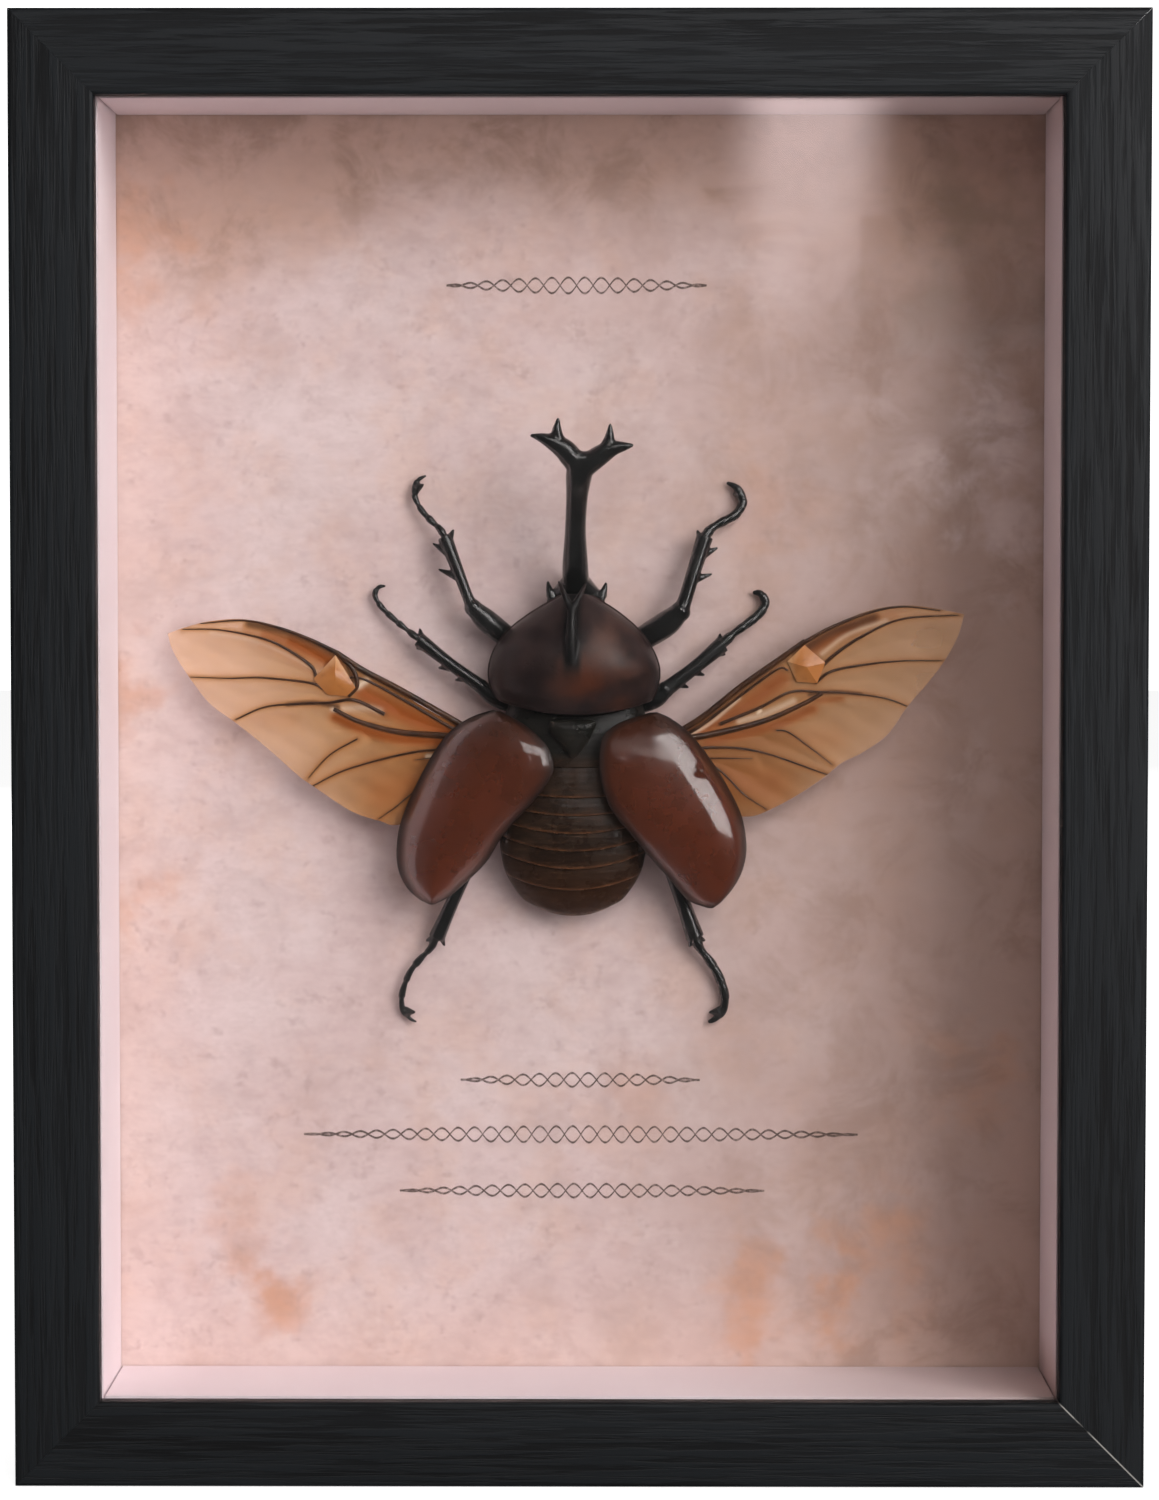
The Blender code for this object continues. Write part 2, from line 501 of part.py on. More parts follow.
def make_turn_buttons(rails):
    head_radius, head_height = SCREW_HEAD
    under_head = BUTTON_THICK / 2 + GAP
    profile = [
        (0, under_head + head_height),
        (head_radius * 0.62, under_head + head_height * 0.85),
        (head_radius, under_head + head_height * 0.3),
        (head_radius, under_head),
        (SCREW_RADIUS, under_head),
        (SCREW_RADIUS, under_head - SCREW_LENGTH),
        (0, under_head - SCREW_LENGTH - SCREW_RADIUS),
    ]
    hole = circle(SCREW_RADIUS + SCREW_CLEARANCE, 16)
    y = BACK + GAP + BUTTON_THICK / 2
    head_top = under_head + head_height
    slot = box_mesh(
        (-head_radius - GAP, -SLOT_WIDTH / 2, head_top - SLOT_DEPTH),
        (head_radius + GAP, SLOT_WIDTH / 2, head_top + GAP),
    )
    for side, sign, turn in (("left", -1, 0), ("right", 1, math.pi)):
        x = sign * (CASE_WIDTH / 2 - (FACE_WIDTH - REBATE) / 2)
        pilots = []
        for height, z in zip(("lower", "upper"), BUTTON_HEIGHTS):
            mesh = outline_mesh([button_outline(), hole], BUTTON_THICK)
            button = place(f"turn_button_{side}_{height}", mesh, ZINC)
            button.location = (x, y, z)
            button.rotation_euler = (math.pi / 2, turn, 0)
            screw = turned(f"screw_{side}_{height}", profile, (x, y, z))
            driver_slot = helper(f"slot_{side}_{height}", slot)
            driver_slot.location = screw.location
            driver_slot.rotation_euler = screw.rotation_euler
            combine(screw, driver_slot, "DIFFERENCE")
            pilots.append(pilot_hole(x, z, SCREW_RADIUS, SCREW_LENGTH + SCREW_RADIUS))
        drill(rails[f"rail_{side}"], pilots)


def pilot_hole(x, z, radius, depth):
    """The hole that a screw or nail sits in, as a cylinder that runs in from behind the case."""
    bm = bmesh.new()
    bmesh.ops.create_cone(
        bm, cap_ends=True, segments=TURNED_SIDES, radius1=radius + GAP, radius2=radius + GAP,
        depth=2 * (depth + GAP),
    )
    for vert in bm.verts:
        across, up, out = vert.co
        vert.co = (x + across, BACK + out, z - up)
    mesh = bpy.data.meshes.new("pilot")
    bm.to_mesh(mesh)
    bm.free()
    return mesh


def drill(part, holes):
    shape = helper(f"holes_{part.name}", merged(holes))
    combine(part, shape, "DIFFERENCE")


def hanger_notch(x, pitch):
    """The cut between two teeth, open at the strip's lower edge."""
    half = (pitch - TOOTH_LAND) / 2
    notch = outline_mesh([[(x - half, -GAP), (x + half, -GAP), (x, TOOTH_HEIGHT)]], 2 * HANGER_LIFT)
    for vert in notch.vertices:
        vert.co = (vert.co.x, vert.co.z + HANGER_LIFT, vert.co.y - HANGER_WIDTH / 2)
    notch.flip_normals()
    return notch


def make_hanger(rails):
    """A sawtooth hanger: a pressed strip, raised off the rail between two nailed tabs."""
    half, tab, lift = HANGER_LENGTH / 2, HANGER_TAB, HANGER_LIFT
    upper = [(half, 0), (half - tab, 0), (half - tab - lift, lift)]
    run = [(-x, y) for x, y in upper] + [(x, y) for x, y in reversed(upper)]
    section = run + [(x, y + HANGER_THICK) for x, y in reversed(run)]
    z = CASE_HEIGHT - (FACE_WIDTH - REBATE) / 2 - HANGER_DROP
    hanger = place("sawtooth_hanger", outline_mesh([section], HANGER_WIDTH), ZINC)
    hanger.location = (0, BACK + GAP, z)
    pitch = (HANGER_LENGTH - 2 * (tab + lift)) / HANGER_TEETH
    notches = [hanger_notch((i - (HANGER_TEETH - 1) / 2) * pitch, pitch) for i in range(HANGER_TEETH)]
    cut = helper("hanger_notches", merged(notches))
    cut.location = hanger.location
    combine(hanger, cut, "DIFFERENCE")
    head_radius, head_height = NAIL_HEAD
    profile = [
        (0, head_height),
        (head_radius * 0.7, head_height * 0.8),
        (head_radius, 0),
        (NAIL_RADIUS, 0),
        (NAIL_RADIUS, -NAIL_LENGTH),
        (0, -NAIL_LENGTH - NAIL_RADIUS),
    ]
    holes = []
    under_head = BACK + 2 * GAP + HANGER_THICK
    for side, sign in (("left", -1), ("right", 1)):
        x = sign * (half - tab / 2)
        turned(f"nail_{side}", profile, (x, under_head, z))
        holes.append(pilot_hole(x, z, NAIL_RADIUS, NAIL_LENGTH))
    drill(rails["rail_top"], holes)
    combine(hanger, bpy.data.objects["holes_rail_top"], "DIFFERENCE")


# The beetle

def section(station, sides, upper=2.2, lower=1.6, ridge=0.0):
    """One ring across the body: an oval whose sides lie ahead of its middle."""
    y, left, right, edge, top, belly, ahead = station
    ring = []
    for i in range(sides):
        a = 2 * math.pi * i / sides
        power = upper if math.sin(a) >= 0 else lower
        across = math.copysign(abs(math.cos(a)) ** (2 / power), math.cos(a))
        off = math.copysign(abs(math.sin(a)) ** (2 / power), math.sin(a))
        height = edge + off * (top - edge if off >= 0 else edge - belly)
        if abs(across) < 0.05 and off > 0:
            height += ridge
        ring.append(((left + right) / 2 + across * (right - left) / 2, y + ahead * across**2, height))
    return ring


def loft(rings):
    """A closed mesh through rings of equally many points, its ends closed by fans."""
    bm = bmesh.new()
    rows = [[bm.verts.new([c * MM for c in point]) for point in ring] for ring in rings]
    count = len(rows[0])
    for row, after in zip(rows, rows[1:]):
        for i in range(count):
            j = (i + 1) % count
            bm.faces.new((row[i], row[j], after[j], after[i]))
    for row, ring in ((rows[0], rings[0]), (rows[-1], rings[-1])):
        centre = bm.verts.new([c * MM for c in np.mean(ring, axis=0)])
        for i in range(count):
            bm.faces.new((row[i], row[(i + 1) % count], centre))
    bmesh.ops.recalc_face_normals(bm, faces=bm.faces)
    mesh = bpy.data.meshes.new("loft")
    bm.to_mesh(mesh)
    bm.free()
    return mesh


def ball_mesh(x, y, z, radius):
    bm = bmesh.new()
    bmesh.ops.create_uvsphere(bm, u_segments=8, v_segments=5, radius=radius * MM)
    for vert in bm.verts:
        vert.co = (vert.co.x + x * MM, vert.co.y + y * MM, vert.co.z + z * MM)
    mesh = bpy.data.meshes.new("ball")
    bm.to_mesh(mesh)
    bm.free()
    return mesh


def make_head(beetle):
    """The head capsule with its eyes and the forked horn that grows from it."""
    head = place("head_and_horn", loft([section(s, 16, 2.4, 2.0) for s in HEAD]), BLACK_CHITIN, beetle)
    shapes = [tube_mesh(smooth_line(line, 2 * len(line) - 3)) for line in HORN]
    shapes += [ball_mesh(*eye) for eye in EYES]
    for i, mesh in enumerate(shapes):
        combine(head, helper(f"head_shape_{i}", mesh, beetle), "UNION")


def make_pronotum(beetle):
    """The shield over the fore body, with the short forked horn on its midline."""
    rings = [section(s, 24, 2.2, 1.0, ridge=0.25) for s in PRONOTUM]
    shield = place("pronotum", loft(rings), DARK_CHITIN, beetle)
    for i, line in enumerate(CHEST_HORN):
        combine(shield, helper(f"chest_horn_{i}", tube_mesh(line, 1), beetle), "UNION")


def make_hind_body(beetle):
    """The hind thorax, the scutellum on it and the abdomen with its overlapping plates."""
    stations = list(HIND_BODY_FRONT)
    for tergite in TERGITES:
        y, left, right, edge, top, belly, ahead = tergite
        stations.append(tergite)
        stations.append((y - TERGITE_EDGE, left, right, edge, top - TERGITE_STEP, belly, ahead))
    stations += HIND_BODY_REAR
    part = place("hind_body", loft([section(s, 20) for s in stations]), SOFT_CHITIN, beetle)
    low, high = SCUTELLUM_HEIGHTS
    outline = [(x * MM, y * MM) for x, y in SCUTELLUM]
    plate = outline_mesh([outline], (high - low) * MM)
    for vert in plate.vertices:
        vert.co.z += (low + high) / 2 * MM
    combine(part, helper("scutellum", plate, beetle), "UNION")


def make_leg(name, line, spines, beetle):
    """Thigh, shin, foot and claw in one run, with the spines of the shin."""
    leg = place(name, tube_mesh(smooth_line(line, 2 * len(line) - 4)), BLACK_CHITIN, beetle)
    for i, (root, tip) in enumerate(spines):
        middle = [(a + b) / 2 for a, b in zip(root, tip)]
        stations = [(*point, radius) for point, radius in zip((root, middle, tip), SPINE_RADII)]
        combine(leg, helper(f"{name}_spine_{i}", tube_mesh(stations, 1), beetle), "UNION")


def make_wing_case(name, outer, inner, beetle):
    """A hard front wing: a crowned shell between its outer and inner edge."""
    along, across = 13, 7
    rows = []
    for i, (a, b) in enumerate(zip(smooth_line(inner, along), smooth_line(outer, along))):
        share = (i + CASE_CROWN_ROOT) / (along - 1 + 2 * CASE_CROWN_ROOT)
        crown = CASE_CROWN * math.sin(math.pi * share) ** 0.5
        row = []
        for j in range(across):
            share = j / (across - 1)
            x, y, z = a * (1 - share) + b * share
            row.append((x, y, z + crown * math.sin(math.pi * share) ** 0.8))
        rows.append(row)
    bm = bmesh.new()
    verts = [[bm.verts.new([c * MM for c in point]) for point in row] for row in rows]
    for row, after in zip(verts, verts[1:]):
        for j in range(across - 1):
            bm.faces.new((row[j], row[j + 1], after[j + 1], after[j]))
    bm.normal_update()
    if sum(face.normal.z for face in bm.faces) < 0:
        bmesh.ops.reverse_faces(bm, faces=bm.faces)
    mesh = bpy.data.meshes.new(name)
    bm.to_mesh(mesh)
    bm.free()
    case = place(name, mesh, RED_CHITIN, beetle)
    shell = case.modifiers.new("shell", "SOLIDIFY")
    shell.thickness = CASE_SHELL * MM
    shell.offset = -1


def wing_height(x):
    return WING_ROOT_Z - WING_FALL * (abs(x) - WING_ROOT_X)


def make_wing(name, outline, veins, beetle):
    """A membranous wing with its stiff veins standing out of both faces."""
    closed = smooth_line(outline, 34)
    mesh = outline_mesh([[(x * MM, y * MM) for x, y in closed]], WING_THICK * MM)
    for vert in mesh.vertices:
        vert.co.z += wing_height(vert.co.x / MM) * MM
    wing = place(name, mesh, MEMBRANE, beetle)
    for i, (line, radius) in enumerate(veins):
        stations = [(x, y, wing_height(x), radius) for x, y in smooth_line(line, 5)]
        combine(wing, helper(f"{name}_vein_{i}", tube_mesh(stations, 1), beetle), "UNION")


def make_beetle():
    beetle = bpy.data.objects.new("beetle_on_card", None)
    DISPLAY.objects.link(beetle)
    beetle.location = (0, CARD_FRONT, 0)
    beetle.rotation_euler = (math.pi / 2, 0, 0)
    make_head(beetle)
    make_pronotum(beetle)
    make_hind_body(beetle)
    for name, (line, spines) in LEGS.items():
        make_leg(name, line, spines, beetle)
    for name, (outer, inner) in WING_CASES.items():
        make_wing_case(name, outer, inner, beetle)
    for name, (outline, veins) in WINGS.items():
        make_wing(name, outline, veins, beetle)


all_rails = make_rails()
make_sheets()
make_liner()
make_turn_buttons(all_rails)
make_hanger(all_rails)
make_beetle()
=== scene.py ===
# The looks of an insect display frame: a black box frame with glass, a white liner and one spread
# beetle glued to an aged card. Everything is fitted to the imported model, in metres.
import math

import bmesh
import bpy
import numpy as np
from mathutils import Matrix, Vector


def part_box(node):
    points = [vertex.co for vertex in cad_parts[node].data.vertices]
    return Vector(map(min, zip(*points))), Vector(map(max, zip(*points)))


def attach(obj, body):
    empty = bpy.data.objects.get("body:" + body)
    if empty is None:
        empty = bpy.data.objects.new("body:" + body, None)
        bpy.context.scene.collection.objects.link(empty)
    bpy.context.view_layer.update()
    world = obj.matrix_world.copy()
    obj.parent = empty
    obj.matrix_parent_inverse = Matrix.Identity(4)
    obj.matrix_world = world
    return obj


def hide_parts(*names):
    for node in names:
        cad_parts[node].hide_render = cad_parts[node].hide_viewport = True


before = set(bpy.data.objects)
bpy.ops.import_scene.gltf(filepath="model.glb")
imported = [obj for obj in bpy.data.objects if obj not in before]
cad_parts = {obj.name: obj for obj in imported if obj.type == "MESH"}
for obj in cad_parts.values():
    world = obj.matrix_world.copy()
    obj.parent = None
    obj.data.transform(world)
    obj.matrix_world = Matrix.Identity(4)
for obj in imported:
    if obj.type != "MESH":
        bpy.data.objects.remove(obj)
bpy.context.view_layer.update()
MM = 0.001

# Camera. It stands 63 cm in front of the glass, a little above the beetle, and looks down by two
# and a half degrees.
CAMERA_PLACE = (0.00344, -0.6466, 0.14066)
CAMERA_TURN, CAMERA_TILT, CAMERA_ROLL = 0.0054, -0.0446, -0.0003
camera_data = bpy.data.cameras.new("camera")
camera_data.lens = 99.99
camera = bpy.data.objects.new("camera", camera_data)
camera.matrix_world = (
    Matrix.Translation(CAMERA_PLACE)
    @ Matrix.Rotation(CAMERA_TURN, 4, "Z")
    @ Matrix.Rotation(CAMERA_TILT, 4, "X")
    @ Matrix.Rotation(CAMERA_ROLL, 4, "Y")
    @ Matrix.Rotation(math.pi / 2, 4, "X")
)
bpy.context.scene.collection.objects.link(camera)
bpy.context.scene.camera = camera
bpy.context.scene.view_settings.view_transform = "Standard"

# Rails. Four lengths of open-grained wood, moulded with a lip in front and a rebate behind it,
# mitred at the corners, glued and stained black. The stain is thin in the grain's ridges.
RAIL_FACE = 13 * MM
RAIL_ROUND = 0.7 * MM
RAIL_BACK_ROUND = 0.4 * MM
LIP_THICK = 3 * MM
REBATE = 3.7 * MM
MITRE_GAP = 0.015 * MM
MITRE_LINE_WIDE, MITRE_LINE_NARROW = 0.19 * MM, 0.10 * MM  # bare wood along the open mitre
MITRE_LINE_FROM = (72.5 * MM, 73.8 * MM)  # how far across it starts
GRAIN_ACROSS, GRAIN_ALONG = 1500, 55  # how fine the grain is, per metre
CASE_LOW = Vector((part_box("rail_left")[0].x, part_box("rail_left")[0].y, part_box("rail_bottom")[0].z))
CASE_HIGH = Vector((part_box("rail_right")[1].x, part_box("rail_left")[1].y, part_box("rail_top")[1].z))


def shade(tree, kind, inputs=None, **settings):
    """Adds one shader node; each input is a plain value or another node's output."""
    made = tree.nodes.new("ShaderNode" + kind)
    for setting, value in settings.items():
        setattr(made, setting, value)
    for key, value in (inputs or {}).items():
        if isinstance(value, bpy.types.NodeSocket):
            tree.links.new(value, made.inputs[key])
        else:
            made.inputs[key].default_value = value
    return made


def spread(tree, value, low, high, least=0.0, most=1.0):
    """Stretches low..high of a value to least..most, with soft ends."""
    inputs = {"Value": value, "From Min": low, "From Max": high, "To Min": least, "To Max": most}
    return shade(tree, "MapRange", inputs, interpolation_type="SMOOTHSTEP").outputs["Result"]


def mixed(tree, share, first, second):
    """The first colour where share is 0, the second where it is 1."""
    return shade(tree, "Mix", {0: share, 6: first, 7: second}, data_type="RGBA").outputs[2]


def worked(tree, operation, first, second=0.0):
    return shade(tree, "Math", {0: first, 1: second}, operation=operation).outputs[0]


def noise(tree, place, scale, detail=4.0, roughness=0.55, distortion=0.0):
    inputs = {"Vector": place, "Scale": scale, "Detail": detail, "Roughness": roughness}
    return shade(tree, "TexNoise", {**inputs, "Distortion": distortion}).outputs["Fac"]


def scaled(tree, place, x, y, z):
    return shade(tree, "Mapping", {"Vector": place, "Scale": (x, y, z)}).outputs["Vector"]


def new_finish(name, **plain):
    """A material with plain values on its shader, its node tree, its shader and its place input."""
    finish = bpy.data.materials.new(name)
    finish.use_nodes = True
    tree = finish.node_tree
    surface = tree.nodes["Principled BSDF"]
    for socket, value in plain.items():
        surface.inputs[socket.replace("_", " ")].default_value = value
    place = tree.nodes.new("ShaderNodeTexCoord").outputs["Object"]
    return finish, tree, surface, place


def feed(tree, surface, **sources):
    """Links colours, masks and values into the shader's inputs."""
    for socket, source in sources.items():
        tree.links.new(source, surface.inputs[socket.replace("_", " ")])


def relief(tree, surface, height, depth, strength=1.0):
    bump = shade(tree, "Bump", {"Height": height, "Distance": depth, "Strength": strength})
    tree.links.new(bump.outputs["Normal"], surface.inputs["Normal"])


def new_effect(name, takes, gives):
    """An empty node group, and the sockets inside it that bring its inputs and take its outputs."""
    effect = bpy.data.node_groups.new(name, "ShaderNodeTree")
    for label, kind in takes.items():
        effect.interface.new_socket(label, in_out="INPUT", socket_type="NodeSocket" + kind)
    for label, kind in gives.items():
        effect.interface.new_socket(label, in_out="OUTPUT", socket_type="NodeSocket" + kind)
    given = effect.nodes.new("NodeGroupInput").outputs
    results = effect.nodes.new("NodeGroupOutput").inputs
    return effect, given, results


wood_grain, given, results = new_effect(
    "wood_grain", {"Grain place": "Vector"}, {"Streaks": "Float", "Bands": "Float", "Height": "Float"}
)
strands = noise(wood_grain, given["Grain place"], 1.0, 5, 0.6, 0.25)
streaks = spread(wood_grain, strands, 0.40, 0.56)
bands = spread(wood_grain, noise(wood_grain, given["Grain place"], 0.22, 3, 0.5, 0.4), 0.3, 0.7)
wood_grain.links.new(streaks, results["Streaks"])
wood_grain.links.new(bands, results["Bands"])
ridges = worked(wood_grain, "ADD", worked(wood_grain, "MULTIPLY", streaks, 0.6), strands)
wood_grain.links.new(ridges, results["Height"])


def black_wood(name, grain_scale):
    finish, tree, surface, place = new_finish(name, Specular_IOR_Level=0.22)
    grain = shade(tree, "Group", {0: scaled(tree, place, *grain_scale)}, node_tree=wood_grain).outputs
    stain = mixed(tree, grain["Streaks"], (0.0022, 0.0026, 0.0032, 1), (0.0062, 0.0076, 0.0091, 1))
    stain = mixed(tree, worked(tree, "MULTIPLY", grain["Bands"], 0.35), stain, (0.0090, 0.0114, 0.0139, 1))
    corner = shade(tree, "SeparateXYZ", {0: place}).outputs
    reach = worked(tree, "ADD", corner["X"], corner["Z"])
    reach = worked(tree, "ABSOLUTE", worked(tree, "SUBTRACT", reach, CASE_HIGH.x))
    broken_up = spread(tree, noise(tree, place, 260, 2), 0.35, 0.5)
    line = worked(tree, "MULTIPLY", spread(tree, reach, MITRE_LINE_WIDE, MITRE_LINE_NARROW), broken_up)
    line = worked(tree, "MULTIPLY", line, spread(tree, corner["X"], *MITRE_LINE_FROM))
    stain = mixed(tree, worked(tree, "MULTIPLY", line, 0.75), stain, (0.30, 0.29, 0.27, 1))
    roughness = spread(tree, grain["Streaks"], 0, 1, 0.62, 0.46)
    feed(tree, surface, Base_Color=stain, Roughness=roughness)
    relief(tree, surface, grain["Height"], 0.12 * MM, 0.5)
    return finish


def tidy_normals(mesh):
    """Turns closed bodies outwards and open sheets to the front."""
    bm = bmesh.new()
    bm.from_mesh(mesh)
    bmesh.ops.recalc_face_normals(bm, faces=bm.faces)
    if any(edge.is_boundary for edge in bm.edges):
        for first in bm.faces:
            if first.tag:
                continue
            first.tag = True
            sheet = [first]
            for face in sheet:
                for beside in (other for edge in face.edges for other in edge.link_faces if not other.tag):
                    if not beside.tag:
                        beside.tag = True
                        sheet.append(beside)
            is_open = any(edge.is_boundary for face in sheet for edge in face.edges)
            if is_open and sum(face.normal.y * face.calc_area() for face in sheet) > 0:
                bmesh.ops.reverse_faces(bm, faces=sheet)
    bm.to_mesh(mesh)
    bm.free()


def finished(name, mesh, finish, node, sharp=35):
    """Puts a piece in the scene in place of its node, facing outwards and riding on the case."""
    tidy_normals(mesh)
    for one in finish if isinstance(finish, tuple) else (finish,):
        mesh.materials.append(one)
    mesh.shade_smooth()
    if sharp:
        mesh.set_sharp_from_angle(angle=math.radians(sharp))
    piece = bpy.data.objects.new(name, mesh)
    bpy.context.scene.collection.objects.link(piece)
    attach(piece, "root")
    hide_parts(node)
    return piece


def mitred_rail(name, node, corners, finish):
    """A rail through the case between two corners; corners gives both ends for a depth from outside."""
    front, back = CASE_LOW.y, CASE_HIGH.y
    r, b = RAIL_ROUND, RAIL_BACK_ROUND
    quarter = np.linspace(0, math.pi / 2, 9)
    outline = [(r - r * math.cos(a), front + r - r * math.sin(a)) for a in quarter]
    outline += [(RAIL_FACE - r + r * math.sin(a), front + r - r * math.cos(a)) for a in quarter]
    outline += [(RAIL_FACE, front + LIP_THICK), (RAIL_FACE - REBATE, front + LIP_THICK)]
    outline += [(RAIL_FACE - REBATE, back)]
    outline += [(b - b * math.sin(a), back - b + b * math.cos(a)) for a in quarter[::2]]
    points = []
    for end in (0, 1):
        for depth, y in outline:
            x, z = corners(depth)[end]
            points.append((x, y, z))
    count = len(outline)
    faces = [(i, (i + 1) % count, (i + 1) % count + count, i + count) for i in range(count)]
    faces += [tuple(range(count)), tuple(range(2 * count - 1, count - 1, -1))]
    mesh = bpy.data.meshes.new(name)
    mesh.from_pydata(points, [], faces)
    finished(name, mesh, finish, node)


upright_wood = black_wood("black_wood_upright", (GRAIN_ACROSS, GRAIN_ACROSS, GRAIN_ALONG))
level_wood = black_wood("black_wood_level", (GRAIN_ALONG, GRAIN_ACROSS, GRAIN_ACROSS))
LEFT, RIGHT, BOTTOM, TOP = CASE_LOW.x, CASE_HIGH.x, CASE_LOW.z, CASE_HIGH.z


def left_ends(depth):
    return (LEFT + depth, BOTTOM + depth + MITRE_GAP), (LEFT + depth, TOP - depth - MITRE_GAP)


def right_ends(depth):
    return (RIGHT - depth, BOTTOM + depth + MITRE_GAP), (RIGHT - depth, TOP - depth - MITRE_GAP)


def bottom_ends(depth):
    return (LEFT + depth + MITRE_GAP, BOTTOM + depth), (RIGHT - depth - MITRE_GAP, BOTTOM + depth)


def top_ends(depth):
    return (LEFT + depth + MITRE_GAP, TOP - depth), (RIGHT - depth - MITRE_GAP, TOP - depth)


mitred_rail("left_moulding", "rail_left", left_ends, upright_wood)
mitred_rail("right_moulding", "rail_right", right_ends, upright_wood)
mitred_rail("bottom_moulding", "rail_bottom", bottom_ends, level_wood)
mitred_rail("top_moulding", "rail_top", top_ends, level_wood)

# Glass. One sheet of 2 mm picture glass that lies against the lips of the rails. Lamps shine
# through it.
clear_glass, tree, surface, place = new_finish(
    "clear_glass", Roughness=0.015, IOR=1.45, Transmission_Weight=1.0
)
seen_through = tree.nodes.new("ShaderNodeBsdfTransparent")
lamp_or_eye = tree.nodes.new("ShaderNodeMixShader")
tree.links.new(tree.nodes.new("ShaderNodeLightPath").outputs["Is Shadow Ray"], lamp_or_eye.inputs[0])
tree.links.new(surface.outputs["BSDF"], lamp_or_eye.inputs[1])
tree.links.new(seen_through.outputs["BSDF"], lamp_or_eye.inputs[2])
tree.links.new(lamp_or_eye.outputs["Shader"], tree.nodes["Material Output"].inputs["Surface"])


def dress(finish, *nodes):
    for node in nodes:
        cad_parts[node].material_slots[0].material = finish


dress(clear_glass, "glass")

# Liner. Four strips of foam board faced with white paper, which line the case and hold the card
# away from the glass. The paper has a faint tooth and has yellowed a little.
paper_tooth, given, results = new_effect(
    "paper_tooth",
    {"Place": "Vector", "Fineness": "Float"},
    {"Clouds": "Float", "Fibres": "Float", "Height": "Float"},
)
clouds = noise(paper_tooth, given["Place"], 55, 6, 0.62)
fibres = noise(paper_tooth, scaled(paper_tooth, given["Place"], 1, 1, 2.2), given["Fineness"], 5, 0.7)
paper_tooth.links.new(spread(paper_tooth, clouds, 0.3, 0.7), results["Clouds"])
paper_tooth.links.new(spread(paper_tooth, fibres, 0.25, 0.75), results["Fibres"])
paper_tooth.links.new(fibres, results["Height"])

LINER_SHADED = (12 * MM, 80 * MM)  # the top and bottom strips darken towards their right ends: painted shade
BOTTOM_STRIP, TOP_STRIP = (22 * MM, 13 * MM), (202 * MM, 211 * MM)

white_liner, tree, surface, place = new_finish("white_liner", Specular_IOR_Level=0.25)
tooth = shade(tree, "Group", {"Place": place, "Fineness": 1400}, node_tree=paper_tooth).outputs
paint = mixed(tree, tooth["Clouds"], (0.86, 0.75, 0.79, 1), (0.90, 0.80, 0.835, 1))
paint = mixed(tree, worked(tree, "MULTIPLY", tooth["Fibres"], 0.25), paint, (0.80, 0.69, 0.71, 1))
where = shade(tree, "SeparateXYZ", {0: place}).outputs
low = spread(tree, where["Z"], *BOTTOM_STRIP)
level = worked(tree, "ADD", low, spread(tree, where["Z"], *TOP_STRIP, 0, 0.55))
# Painted shade: the top and bottom strips turn a brownish grey towards their right ends.
painted_liner_shade = worked(tree, "MULTIPLY", spread(tree, where["X"], *LINER_SHADED), level)
paint = mixed(tree, worked(tree, "MULTIPLY", painted_liner_shade, 0.8), paint, (0.46, 0.34, 0.31, 1))
feed(tree, surface, Base_Color=paint, Roughness=spread(tree, tooth["Fibres"], 0, 1, 0.62, 0.78))
relief(tree, surface, tooth["Height"], 0.05 * MM, 0.4)
dress(white_liner, "liner_left", "liner_right", "liner_bottom", "liner_top")

# Card. A sheet of old-looking printed card, pinkish with peach edges, brown clouds and small
# stains. Towards the right and the top it is darker and browner, partly its own browning and
# partly painted shade from the rails; a dark olive patch in the top right corner is painted
# shade, and paler patches on the right side are painted light. Four rules of two thin crossing
# waves are printed on it, one above the beetle.
CARD_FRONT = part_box("backing_card")[0].y
CARD_STAINS = (  # across, up, radius and strength
    (-49.5, 24.0, 9, 0.75), (-55.0, 35.0, 12, 0.35), (-68.0, 87.5, 9, 0.55), (-72.0, 122.0, 10, 0.6),
    (47.0, 33.0, 11, 0.5), (38.0, 21.0, 12, 0.55), (9.0, 57.0, 9, 0.3), (64.0, 62.0, 14, 0.4),
    (-70.0, 190.0, 16, 0.5), (30.0, 150.0, 12, 0.3), (29.0, 22.0, 19, 0.6), (50.0, 30.0, 16, 0.3),
)
# Paler patches on the right side are painted light that lifts the shade there; the dark olive patch in the
# top right corner is painted shade.
CARD_PAINTED_LIGHT = ((67.0, 158.0, 28, 0.85), (64.0, 108.0, 14, 0.25))
CARD_CORNER_SHADE = ((62.0, 190.0, 24, 0.55),)
CARD_MARKS = (  # the tone of each kind
    ((0.66, 0.32, 0.17, 1), CARD_STAINS),
    ((0.74, 0.58, 0.55, 1), CARD_PAINTED_LIGHT),
    ((0.25, 0.185, 0.125, 1), CARD_CORNER_SHADE),
)
PRINTED_RULES = (  # middle across and up, half length, swing
    (-0.6, 184.5, 20.5, 1.25), (0.0, 58.8, 19.0, 1.1), (0.1, 50.1, 44.0, 1.3), (0.3, 41.1, 29.0, 1.1),
)
RULE_WAVE = 5.2 * MM
CARD_HALF_WIDTH, CARD_HALF_HEIGHT, CARD_MIDDLE = 73 * MM, 99 * MM, 112.1 * MM
PEN_WIDTH = 0.25 * MM

